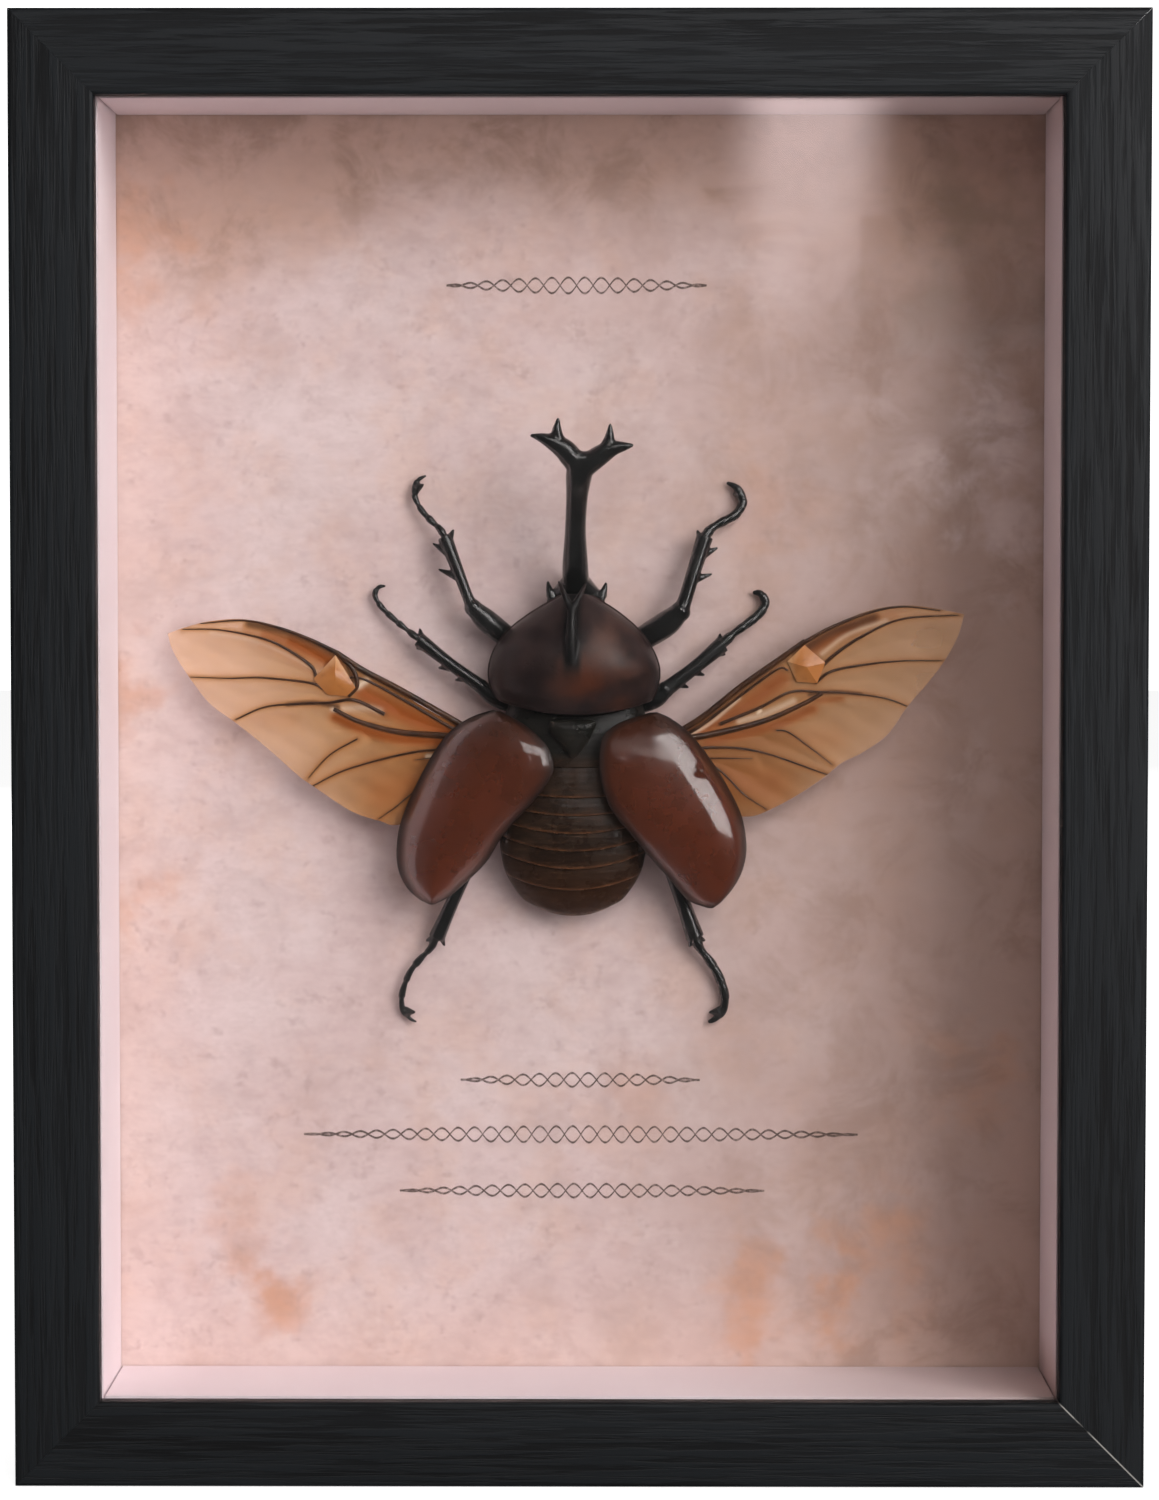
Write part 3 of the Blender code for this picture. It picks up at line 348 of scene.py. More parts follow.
soft_stain, given, results = new_effect(
    "soft_stain", {"Place": "Vector", "Middle": "Vector", "Radius": "Float"}, {"Mask": "Float"}
)
ragged = shade(soft_stain, "TexNoise", {"Vector": given["Place"], "Scale": 130, "Detail": 5}).outputs["Fac"]
away = shade(soft_stain, "VectorMath", {0: given["Place"], 1: given["Middle"]}, operation="DISTANCE")
away = away.outputs["Value"]
away = worked(soft_stain, "DIVIDE", away, given["Radius"])
away = worked(soft_stain, "ADD", away, spread(soft_stain, ragged, 0.3, 0.7, 0.9, 0.0))
soft_stain.links.new(spread(soft_stain, away, 1.3, 0.2), results["Mask"])

pen_rule, given, results = new_effect(
    "pen_rule",
    {"Place": "Vector", "Middle": "Vector", "Half length": "Float", "Swing": "Float"},
    {"Ink": "Float"},
)
gap = shade(pen_rule, "VectorMath", {0: given["Place"], 1: given["Middle"]}, operation="SUBTRACT")
gap = shade(pen_rule, "SeparateXYZ", {0: gap.outputs["Vector"]}).outputs
share = worked(pen_rule, "DIVIDE", worked(pen_rule, "ABSOLUTE", gap["X"]), given["Half length"])
taper = worked(pen_rule, "SUBTRACT", 1.0, worked(pen_rule, "POWER", share, 2.0))
wave = worked(pen_rule, "SINE", worked(pen_rule, "MULTIPLY", gap["X"], 2 * math.pi / RULE_WAVE))
wave = worked(pen_rule, "MULTIPLY", worked(pen_rule, "MULTIPLY", wave, given["Swing"]), taper)
nearest = worked(
    pen_rule, "MINIMUM",
    worked(pen_rule, "ABSOLUTE", worked(pen_rule, "SUBTRACT", gap["Z"], wave)),
    worked(pen_rule, "ABSOLUTE", worked(pen_rule, "ADD", gap["Z"], wave)),
)
ink = spread(pen_rule, nearest, PEN_WIDTH, PEN_WIDTH * 0.4)
ink = worked(pen_rule, "MULTIPLY", ink, worked(pen_rule, "LESS_THAN", share, 1.0))
pen_rule.links.new(ink, results["Ink"])

aged_card, tree, surface, place = new_finish("aged_card", Specular_IOR_Level=0.2)
tooth = shade(tree, "Group", {"Place": place, "Fineness": 900}, node_tree=paper_tooth).outputs
paper = mixed(tree, tooth["Clouds"], (0.745, 0.575, 0.560, 1), (0.83, 0.685, 0.680, 1))
blush = spread(tree, noise(tree, place, 95, 5, 0.6), 0.45, 0.68)
paper = mixed(tree, worked(tree, "MULTIPLY", blush, 0.45), paper, (0.80, 0.56, 0.47, 1))
across = shade(tree, "SeparateXYZ", {0: place}).outputs
drift = spread(tree, noise(tree, place, 22, 4, 0.6), 0.25, 0.75, -12 * MM, 12 * MM)
# Painted shade mixed with browning: darker and browner towards the right rail and the top rail.
right_shade_and_browning = spread(tree, worked(tree, "ADD", across["X"], drift), -20 * MM, 75 * MM)
top_browning_and_shade = spread(tree, worked(tree, "ADD", across["Z"], drift), 176 * MM, 208 * MM)
paper = mixed(tree, worked(tree, "MULTIPLY", right_shade_and_browning, 0.88), paper, (0.39, 0.245, 0.185, 1))
paper = mixed(tree, worked(tree, "MULTIPLY", top_browning_and_shade, 0.75), paper, (0.58, 0.35, 0.25, 1))
edge_x = worked(tree, "DIVIDE", worked(tree, "ABSOLUTE", across["X"]), CARD_HALF_WIDTH)
edge_z = worked(tree, "ABSOLUTE", worked(tree, "SUBTRACT", across["Z"], CARD_MIDDLE))
edge_z = worked(tree, "DIVIDE", edge_z, CARD_HALF_HEIGHT)
edge = spread(tree, worked(tree, "MAXIMUM", edge_x, edge_z), 0.80, 1.02)
paper = mixed(tree, worked(tree, "MULTIPLY", edge, 0.42), paper, (0.76, 0.55, 0.47, 1))
for tone, marks in CARD_MARKS:
    for x, up, radius, strength in marks:
        inputs = {"Place": place, "Middle": (x * MM, CARD_FRONT, up * MM), "Radius": radius * MM}
        mask = shade(tree, "Group", inputs, node_tree=soft_stain).outputs["Mask"]
        paper = mixed(tree, worked(tree, "MULTIPLY", mask, strength), paper, tone)
smudges = spread(tree, noise(tree, place, 78, 6, 0.7, 0.5), 0.44, 0.66)
# The darker smudges are strongest where the card is browned and painted with shade.
aged = worked(tree, "MAXIMUM", worked(tree, "MAXIMUM", right_shade_and_browning, top_browning_and_shade), 0.28)
smudged = worked(tree, "MULTIPLY", worked(tree, "MULTIPLY", smudges, aged), 0.58)
paper = mixed(tree, smudged, paper, (0.33, 0.205, 0.150, 1))
scuffs = spread(tree, noise(tree, scaled(tree, place, 1, 1, 1.7), 330, 5, 0.75), 0.40, 0.64)
paper = mixed(tree, worked(tree, "MULTIPLY", scuffs, 0.16), paper, (0.42, 0.30, 0.27, 1))
specks = spread(tree, noise(tree, place, 420, 4, 0.6), 0.56, 0.74)
paper = mixed(tree, worked(tree, "MULTIPLY", specks, 0.30), paper, (0.42, 0.30, 0.27, 1))
paper = mixed(tree, worked(tree, "MULTIPLY", tooth["Fibres"], 0.12), paper, (0.55, 0.42, 0.40, 1))
for x, up, half_length, swing in PRINTED_RULES:
    inputs = {"Place": place, "Middle": (x * MM, CARD_FRONT, up * MM), "Half length": half_length * MM}
    ink = shade(tree, "Group", {**inputs, "Swing": swing * MM}, node_tree=pen_rule).outputs["Ink"]
    ink = worked(tree, "MULTIPLY", ink, spread(tree, noise(tree, place, 1800, 2), 0.25, 0.6, 0.55, 0.9))
    paper = mixed(tree, ink, paper, (0.055, 0.036, 0.028, 1))
feed(tree, surface, Base_Color=paper, Roughness=spread(tree, tooth["Fibres"], 0, 1, 0.68, 0.85))
relief(tree, surface, tooth["Height"], 0.06 * MM, 0.35)
dress(aged_card, "backing_card")

# Back board. A sheet of hardboard, pressed from wood fibres, smooth and dark brown with paler
# flecks. It closes the case behind the card.
hardboard, tree, surface, place = new_finish("hardboard", Specular_IOR_Level=0.3)
tooth = shade(tree, "Group", {"Place": place, "Fineness": 2200}, node_tree=paper_tooth).outputs
board = mixed(tree, tooth["Clouds"], (0.145, 0.078, 0.036, 1), (0.22, 0.125, 0.062, 1))
flecks = spread(tree, noise(tree, scaled(tree, place, 1, 1, 0.35), 1100, 3, 0.6), 0.58, 0.72)
board = mixed(tree, worked(tree, "MULTIPLY", flecks, 0.5), board, (0.40, 0.27, 0.15, 1))
feed(tree, surface, Base_Color=board, Roughness=spread(tree, tooth["Fibres"], 0, 1, 0.5, 0.72))
relief(tree, surface, tooth["Height"], 0.08 * MM, 0.5)
dress(hardboard, "back_board")

# Hardware. Turn buttons, screws, nails and a sawtooth hanger, pressed or turned from steel and
# zinc plated. The plating has a fine crystal pattern and dull spots, and its edges are tumbled.
EDGE_TUMBLED = 0.12 * MM
zinc_steel, tree, surface, place = new_finish("zinc_steel", Metallic=1.0)
crystals = shade(tree, "TexVoronoi", {"Vector": place, "Scale": 900}).outputs
facets = shade(tree, "SeparateColor", {0: crystals["Color"]}).outputs[0]
scratches = noise(tree, scaled(tree, place, 1, 1, 14), 420, 3, 0.6)
dull = spread(tree, noise(tree, place, 240, 4, 0.6), 0.45, 0.7)
plating = mixed(tree, facets, (0.50, 0.51, 0.53, 1), (0.66, 0.67, 0.68, 1))
plating = mixed(tree, worked(tree, "MULTIPLY", dull, 0.55), plating, (0.38, 0.37, 0.35, 1))
roughness = spread(tree, dull, 0, 1, 0.24, 0.5)
roughness = worked(tree, "ADD", roughness, worked(tree, "MULTIPLY", scratches, 0.12))
feed(tree, surface, Base_Color=plating, Roughness=roughness)
relief(tree, surface, worked(tree, "ADD", worked(tree, "MULTIPLY", facets, 0.3), scratches), 0.03 * MM, 0.4)
for node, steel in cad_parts.items():
    if node.startswith(("turn_button", "screw", "nail", "sawtooth")):
        steel.material_slots[0].material = zinc_steel
        tumbled = steel.modifiers.new("tumbled_edges", "BEVEL")
        tumbled.width = EDGE_TUMBLED
        tumbled.segments = 2
        tumbled.limit_method = "ANGLE"
        tumbled.angle_limit = math.radians(40)

# Head and horn. The beetle's black head with its eyes, and the horn that rises from it over the
# fore body, grooved along its top and forked twice at its end. It all grew as one shell.
HEAD = (  # up the card, left edge, right edge, edge height, top, belly, how far the sides lie ahead
    (133.6, -4.0, 2.6, 2.6, 3.2, 1.4, 0.0),
    (134.6, -5.3, 3.9, 2.8, 4.8, 0.9, 0.0),
    (135.9, -4.9, 3.6, 3.0, 6.0, 0.6, 0.0),
    (137.3, -3.8, 2.5, 3.2, 6.8, 0.8, 0.0),
    (138.7, -2.7, 1.4, 3.2, 6.8, 1.2, 0.0),
    (139.8, -1.6, 0.4, 3.0, 5.4, 1.8, 0.0),
)
HORN_STEM = (
    (-0.7, 138.6, 5.6, 2.1), (-0.75, 141.0, 7.6, 2.0), (-0.7, 146.0, 10.8, 1.65),
    (-0.45, 151.0, 13.8, 1.7), (-0.1, 154.6, 16.0, 2.05), (0.2, 156.2, 16.8, 1.75),
)
HORN_FORKS = (
    ((0.0, 155.4, 16.3, 1.8), (-2.2, 158.1, 17.4, 1.7), (-4.1, 159.3, 17.9, 1.3),
     (-5.8, 160.0, 18.2, 0.8), (-7.6, 160.4, 18.4, 0.22)),
    ((0.4, 155.4, 16.3, 1.8), (3.2, 157.4, 17.4, 1.6), (5.1, 158.4, 17.9, 1.2), (6.8, 158.7, 18.2, 0.75),
     (8.3, 158.9, 18.4, 0.22)),
    ((-3.0, 158.7, 17.6, 1.3), (-3.5, 160.6, 18.0, 0.95), (-3.3, 163.1, 18.4, 0.22)),
    ((3.7, 157.8, 17.6, 1.2), (4.5, 159.7, 18.0, 0.9), (4.7, 162.2, 18.4, 0.22)),
    ((-2.7, 157.5, 17.3, 1.25), (0.3, 156.7, 17.1, 1.35), (3.5, 157.0, 17.3, 1.2)),
)
BODY_CELL = 0.2  # how finely the pieces of a shell are grown together
EYES = ((-4.6, 135.8, 3.6, 0.8), (3.5, 135.8, 3.6, 0.8))
HEAD_STUBS = (
    ((-4.3, 135.0, 4.8, 0.75), (-4.8, 136.5, 4.6, 0.6), (-5.1, 138.0, 4.4, 0.22)),
    ((3.1, 135.0, 4.8, 0.75), (3.7, 136.4, 4.6, 0.6), (4.1, 137.8, 4.4, 0.22)),
)


def smooth_line(points, count):
    """Evenly spaced points on a Catmull-Rom curve through the given ones."""
    points = np.array(points, float)
    before, after = 2 * points[:1] - points[1:2], 2 * points[-1:] - points[-2:-1]
    p = np.concatenate([before, points, after])
    t = np.linspace(0, 1, 16, endpoint=False)[:, None]
    runs = [
        b + t / 2 * (c - a) + t**2 * (a - 2.5 * b + 2 * c - d / 2) + t**3 * (1.5 * (b - c) + (d - a) / 2)
        for a, b, c, d in zip(p, p[1:], p[2:], p[3:])
    ]
    dense = np.concatenate([*runs, points[-1:]])
    steps = np.linalg.norm(np.diff(dense[:, :3], axis=0), axis=1)
    along = np.concatenate([[0], np.cumsum(steps)])
    places = np.linspace(0, along[-1], count)
    return np.stack([np.interp(places, along, column) for column in dense.T], axis=1)


def closed_rings(rings):
    """Points and faces of a closed body through rings of equally many points."""
    rings = np.asarray(rings, float)
    rows, count = rings.shape[:2]
    points = np.concatenate([rings.reshape(-1, 3), rings[0].mean(axis=0)[None], rings[-1].mean(axis=0)[None]])
    faces = []
    for row in range(rows - 1):
        start = row * count
        for i in range(count):
            j = (i + 1) % count
            faces.append((start + i, start + j, start + count + j, start + count + i))
    last, middle = (rows - 1) * count, rows * count
    faces += [((i + 1) % count, i, middle) for i in range(count)]
    faces += [(last + i, last + (i + 1) % count, middle + 1) for i in range(count)]
    return points, faces


def tube(line, sides=20, groove=0.0):
    """A closed tube through x, y, z, radius stations, with a groove along the side off the card."""
    line = np.array(line, float)
    middles, radii = line[:, :3], line[:, 3]
    ahead = np.gradient(middles, axis=0)
    ahead /= np.linalg.norm(ahead, axis=1)[:, None]
    side = np.cross(ahead, (0, 0, 1))
    side /= np.linalg.norm(side, axis=1)[:, None]
    off = np.cross(side, ahead)
    turn = np.arange(sides) * 2 * math.pi / sides
    reach = 1 - groove * np.exp(-(((turn - math.pi / 2) / 0.38) ** 2))
    ring = np.cos(turn)[None, :, None] * side[:, None] + np.sin(turn)[None, :, None] * off[:, None]
    return closed_rings(middles[:, None] + radii[:, None, None] * reach[None, :, None] * ring)


def ball(x, y, z, radius):
    lift = np.linspace(-1.45, 1.45, 12)
    line = [(x, y + radius * math.sin(a), z, radius * math.cos(a)) for a in lift]
    return tube(line, 16)


def cross_section(station, sides, upper=2.2, lower=1.6):
    """One ring across the body: an oval whose sides lie ahead of its middle."""
    y, left, right, edge, top, belly, ahead = station
    turn = np.arange(sides) * 2 * math.pi / sides
    power = np.where(np.sin(turn) >= 0, upper, lower)
    across = np.sign(np.cos(turn)) * abs(np.cos(turn)) ** (2 / power)
    off = np.sign(np.sin(turn)) * abs(np.sin(turn)) ** (2 / power)
    height = edge + off * np.where(off >= 0, top - edge, edge - belly)
    return np.stack([(left + right) / 2 + across * (right - left) / 2, y + ahead * across**2, height], axis=1)


def joined(shapes):
    """One mesh of several bodies."""
    points, faces, start = [], [], 0
    for some_points, some_faces in shapes:
        points.append(some_points)
        faces += [tuple(i + start for i in face) for face in some_faces]
        start += len(some_points)
    mesh = bpy.data.meshes.new("joined")
    mesh.from_pydata(np.concatenate(points), [], faces)
    return mesh


def grown_together(shapes, cell, rounding):
    """One skin over overlapping bodies, with the places where they meet rounded off."""
    lump = bpy.data.objects.new("lump", joined(shapes))
    bpy.context.scene.collection.objects.link(lump)
    skin = lump.modifiers.new("skin", "REMESH")
    skin.mode = "VOXEL"
    skin.voxel_size = cell
    smooth = lump.modifiers.new("rounding", "SMOOTH")
    smooth.factor = 0.5
    smooth.iterations = rounding
    graph = bpy.context.evaluated_depsgraph_get()
    mesh = bpy.data.meshes.new_from_object(lump.evaluated_get(graph))
    bpy.data.objects.remove(lump, do_unlink=True)
    return mesh


def points_of(mesh):
    places = np.empty(len(mesh.vertices) * 3)
    mesh.vertices.foreach_get("co", places)
    return places.reshape(-1, 3)


def beetle_piece(name, mesh, finish, node, sharp=0):
    """Stands a piece, laid out in millimetres on the flat card, up in its place."""
    across, up, off = points_of(mesh).T
    upright = np.stack([across * MM, CARD_FRONT - off * MM, up * MM], axis=1)
    mesh.vertices.foreach_set("co", upright.ravel())
    return finished(name, mesh, finish, node, sharp=sharp)


shell_skin, given, results = new_effect(
    "shell_skin",
    {"Place": "Vector", "Pits": "Float"},
    {"Clouds": "Float", "Fine": "Float", "Height": "Float"},
)
clouds = noise(shell_skin, given["Place"], 190, 5, 0.6)
fine = noise(shell_skin, given["Place"], 1500, 4, 0.6)
pits = shade(shell_skin, "TexVoronoi", {"Vector": given["Place"], "Scale": given["Pits"]}).outputs["Distance"]
shell_skin.links.new(spread(shell_skin, clouds, 0.32, 0.68), results["Clouds"])
shell_skin.links.new(fine, results["Fine"])
height = spread(shell_skin, pits, 0.08, 0.3, 0.0, 0.5)
height = worked(shell_skin, "ADD", height, worked(shell_skin, "MULTIPLY", fine, 0.5))
shell_skin.links.new(worked(shell_skin, "ADD", height, clouds), results["Height"])

black_chitin, tree, surface, place = new_finish("black_chitin", Coat_Weight=0.45, Coat_Roughness=0.06)
skin = shade(tree, "Group", {"Place": place, "Pits": 1500}, node_tree=shell_skin).outputs
shell = mixed(tree, skin["Clouds"], (0.0055, 0.0062, 0.0064, 1), (0.0130, 0.0142, 0.0142, 1))
shell = mixed(tree, worked(tree, "MULTIPLY", skin["Fine"], 0.3), shell, (0.012, 0.010, 0.008, 1))
feed(tree, surface, Base_Color=shell, Roughness=spread(tree, skin["Clouds"], 0, 1, 0.14, 0.26))
relief(tree, surface, skin["Height"], 0.03 * MM, 0.4)

head_shapes = [closed_rings([cross_section(s, 48, 2.4, 2.0) for s in smooth_line(HEAD, 30)])]
head_shapes.append(tube(smooth_line(HORN_STEM, 60), 40, groove=0.16))
head_shapes += [tube(smooth_line(fork, 30), 28) for fork in HORN_FORKS]
head_shapes += [tube(smooth_line(stub, 16), 16) for stub in HEAD_STUBS]
head_shapes += [ball(*eye) for eye in EYES]
head_mesh = grown_together(head_shapes, BODY_CELL, 5)
beetle_piece("forked_head", head_mesh, black_chitin, "head_and_horn")

# Fore body. The beetle's domed shield, brown black with a painted sheen of paler brown over its
# right half and a red tone low on its right that is partly its own red and partly painted sheen,
# with a raised margin and a short forked horn on its middle. It grew as one hard shell.
FORE_BODY = (
    (117.0, -11.6, 10.2, 5.4, 9.8, 4.4, 2.0),
    (117.5, -12.4, 11.0, 5.2, 11.4, 3.2, 1.9),
    (118.6, -13.2, 11.6, 5.2, 12.6, 2.2, 1.5),
    (121.2, -14.1, 12.2, 5.2, 14.4, 1.4, 0.9),
    (124.2, -14.2, 12.3, 5.2, 15.4, 1.2, 0.3),
    (127.4, -13.3, 11.2, 5.2, 15.2, 1.2, 0.0),
    (130.3, -11.1, 9.1, 5.4, 14.0, 1.6, 0.0),
    (132.7, -8.0, 6.4, 5.8, 12.2, 3.4, 0.0),
    (134.6, -4.9, 3.6, 6.4, 10.4, 5.6, 0.0),
    (136.0, -2.4, 1.2, 7.0, 8.9, 6.5, 0.0),
)
CHEST_HORN = (
    ((-1.35, 124.6, 14.5, 0.7), (-1.35, 125.8, 14.8, 0.9), (-1.35, 129.4, 15.0, 0.85),
     (-1.25, 132.0, 14.5, 0.75), (-1.25, 134.0, 13.9, 0.7)),
    ((-1.3, 133.5, 14.0, 0.65), (-2.3, 135.7, 13.6, 0.5), (-3.3, 138.1, 13.2, 0.2)),
    ((-1.2, 133.5, 14.0, 0.65), (-0.1, 135.5, 13.6, 0.5), (0.95, 137.7, 13.2, 0.2)),
)
MARGIN_RADIUS = 0.32
SHIELD_TOP = 14.0 * MM
SHIELD_SHEEN_AND_RED = (  # across, up, radius, strength and colour of the painted sheen: paler brown patches of painted highlight, and a red patch that is partly the shell's own red and partly painted sheen
    (5.0, 123.0, 13.0, 0.6, (0.052, 0.022, 0.015, 1)),
    (3.9, 126.4, 8.5, 0.7, (0.100, 0.048, 0.034, 1)),
    (2.8, 122.2, 7.0, 0.65, (0.095, 0.024, 0.009, 1)),
)

dark_chitin, tree, surface, place = new_finish("dark_chitin", Specular_IOR_Level=0.22)
skin = shade(tree, "Group", {"Place": place, "Pits": 1100}, node_tree=shell_skin).outputs
shell = mixed(tree, skin["Clouds"], (0.013, 0.0085, 0.0085, 1), (0.030, 0.0180, 0.0165, 1))
where = shade(tree, "SeparateXYZ", {0: place}).outputs
# Painted sheen: paler brown patches over the right half, and a red patch low on the right that is partly the
# shell's own red.
for x, up, radius, strength, tone in SHIELD_SHEEN_AND_RED:
    inputs = {"Place": place, "Middle": (x * MM, CARD_FRONT - SHIELD_TOP, up * MM), "Radius": radius * MM}
    mask = shade(tree, "Group", inputs, node_tree=soft_stain).outputs["Mask"]
    shell = mixed(tree, worked(tree, "MULTIPLY", mask, strength), shell, tone)
beside = worked(tree, "ABSOLUTE", worked(tree, "ADD", where["X"], 1.25 * MM))
above = spread(tree, where["Z"], 121 * MM, 126 * MM)
midline = worked(tree, "MULTIPLY", spread(tree, beside, 1.9 * MM, 0.8 * MM), above)
shell = mixed(tree, midline, shell, (0.006, 0.006, 0.006, 1))
feed(tree, surface, Base_Color=shell, Roughness=spread(tree, skin["Clouds"], 0, 1, 0.30, 0.44))
relief(tree, surface, skin["Height"], 0.06 * MM, 0.5)

shield_stations = smooth_line(FORE_BODY, 70)
shield_rings = [cross_section(s, 96, 2.2, 1.0) for s in shield_stations]
left_margin = [(*ring[48], MARGIN_RADIUS) for ring in shield_rings[2:-2]]
right_margin = [(*ring[0], MARGIN_RADIUS) for ring in shield_rings[2:-2]]
rear_margin = [(*point, MARGIN_RADIUS) for point in shield_rings[3][0:49:3]]
shield_shapes = [closed_rings(shield_rings)]
shield_shapes += [tube(margin, 12) for margin in (left_margin, right_margin, rear_margin)]
shield_shapes += [tube(smooth_line(line, 24), 20) for line in CHEST_HORN]
shield_mesh = grown_together(shield_shapes, BODY_CELL, 4)
beetle_piece("domed_shield", shield_mesh, dark_chitin, "pronotum")

# Hind body. The hind thorax with the small triangular plate on it, and the abdomen, whose horny
# plates overlap like tiles. Its skin is softer, satin brown, with pale fine folds, and a highlight
# is painted pale along each plate's rear edge.
HIND_BODY_FRONT = ((116.8, -11.2, 9.8, 4.8, 9.6, 0.9, 2.0), (114.0, -12.4, 10.8, 4.6, 10.4, 0.6, 0.9))
HIND_BODY_REAR = ((86.3, -9.3, 7.1, 3.2, 5.7, 0.9, 1.9), (85.3, -7.0, 4.8, 2.8, 4.4, 1.4, 1.4))
PLATES = (
    (109.0, -13.0, 11.3, 4.4, 10.9, 0.5, 1.0),
    (104.2, -13.2, 11.6, 4.2, 11.0, 0.4, 1.6),
    (101.4, -13.2, 11.5, 4.2, 10.9, 0.4, 1.9),
    (98.6, -13.0, 11.3, 4.2, 10.5, 0.4, 2.2),
    (95.8, -12.7, 10.8, 4.0, 9.9, 0.4, 2.4),
    (93.0, -12.5, 10.4, 3.8, 9.1, 0.5, 2.5),
    (89.6, -11.7, 9.5, 3.6, 7.9, 0.6, 2.4),
)
PLATE_STEP = 0.5
PLATE_EDGE = 0.45  # how wide the painted highlight at a plate's rear edge is
FOLDS_ACROSS, FOLDS_WIDE = -0.8, 3.2  # the fine folds behind the small plate
FOLDS_UP, FOLDS_TALL = 107.5, 2.6
FOLDS_HIGH, FOLDS_FINE = 0.16, 4.2
SCUTELLUM = (
    (-4.6, 116.4), (2.0, 116.4), (2.2, 114.9), (0.7, 112.2), (-1.2, 110.4), (-3.1, 112.4), (-4.8, 114.9),
)
SCUTELLUM_LOW, SCUTELLUM_HIGH = 9.0, 12.0

hind_stations = smooth_line(HIND_BODY_FRONT + PLATES + HIND_BODY_REAR, 230)
plate_edges = [plate[0] for plate in PLATES] + [HIND_BODY_REAR[-1][0]]
hind_rings, hind_edge_highlights = [], []
for station in hind_stations:
    y, edge_highlight_share = station[0], 0.0
    ring = cross_section(station, 96)
    for front, rear in zip(plate_edges, plate_edges[1:]):
        if rear < y <= front:
            lap = ((y - rear) / (front - rear)) ** 1.5
            ring[1:48, 2] -= PLATE_STEP * lap
            edge_highlight_share = max(0.0, 1 - (y - rear) / PLATE_EDGE)
    folds = math.exp(-(((y - FOLDS_UP) / FOLDS_TALL) ** 2))
    folds = folds * np.exp(-(((ring[:, 0] - FOLDS_ACROSS) / FOLDS_WIDE) ** 2))
    ring[:, 2] += np.where(ring[:, 2] > 6, FOLDS_HIGH * folds * np.sin(ring[:, 0] * FOLDS_FINE), 0)
    hind_rings.append(ring)
    hind_edge_highlights += [edge_highlight_share] * len(ring)


def plate_body(outline, low, high):
    """A plate over an outline whose top is domed towards its edge."""
    outline = smooth_line(outline + outline[:1], 49)[:-1]
    middle = outline.mean(axis=0)
    rings = [np.c_[middle + (outline - middle) * 0.02, np.full(48, low)]]
    for share in (0.6, 1.0):
        rings.append(np.c_[middle + (outline - middle) * share, np.full(48, low)])
    for share in (1.0, 0.97, 0.9, 0.75, 0.5, 0.25, 0.02):
        top = high - 0.7 * share**6 - 0.3 * share**2
        rings.append(np.c_[middle + (outline - middle) * share, np.full(48, top)])
    return closed_rings(rings)


soft_chitin, tree, surface, place = new_finish("soft_chitin", Specular_IOR_Level=0.25)
skin = shade(tree, "Group", {"Place": place, "Pits": 1300}, node_tree=shell_skin).outputs
where = shade(tree, "SeparateXYZ", {0: place}).outputs
shell = mixed(tree, skin["Clouds"], (0.012, 0.0065, 0.0040, 1), (0.030, 0.0155, 0.0085, 1))
rear = spread(tree, where["Z"], 97 * MM, 88 * MM)
shell = mixed(tree, worked(tree, "MULTIPLY", rear, 0.6), shell, (0.036, 0.013, 0.005, 1))
streaks = noise(tree, scaled(tree, place, 1, 1, 4.5), 420, 6, 0.7, 0.6)
shell = mixed(tree, spread(tree, streaks, 0.5, 0.72, 0, 0.65), shell, (0.085, 0.042, 0.022, 1))
# Painted highlight: a pale brown band along each plate's rear edge, broken up by the streaks.
lap = shade(tree, "Attribute", attribute_name="lap").outputs["Fac"]
lit_plate_edge = worked(tree, "MULTIPLY", lap, spread(tree, streaks, 0.35, 0.6, 0.3, 0.95))
shell = mixed(tree, lit_plate_edge, shell, (0.15, 0.060, 0.026, 1))
thorax = worked(tree, "MULTIPLY", spread(tree, where["Z"], 109.5 * MM, 111.5 * MM), 0.85)
shell = mixed(tree, thorax, shell, (0.0055, 0.0068, 0.0058, 1))
lines = worked(tree, "SINE", worked(tree, "MULTIPLY", where["Z"], 2 * math.pi / (0.95 * MM)))
feed(tree, surface, Base_Color=shell, Roughness=spread(tree, skin["Clouds"], 0, 1, 0.24, 0.38))
wrinkled = worked(tree, "ADD", skin["Height"], worked(tree, "MULTIPLY", lines, 0.25))
relief(tree, surface, wrinkled, 0.06 * MM, 0.5)

hind_shapes = [closed_rings(hind_rings), plate_body(SCUTELLUM, SCUTELLUM_LOW, SCUTELLUM_HIGH)]
hind_mesh = joined(hind_shapes)
edge_highlights = np.zeros(len(hind_mesh.vertices))
edge_highlights[:len(hind_edge_highlights)] = hind_edge_highlights
hind_mesh.attributes.new("lap", "FLOAT", "POINT").data.foreach_set("value", edge_highlights)
beetle_piece("ringed_hind_body", hind_mesh, soft_chitin, "hind_body", sharp=40)

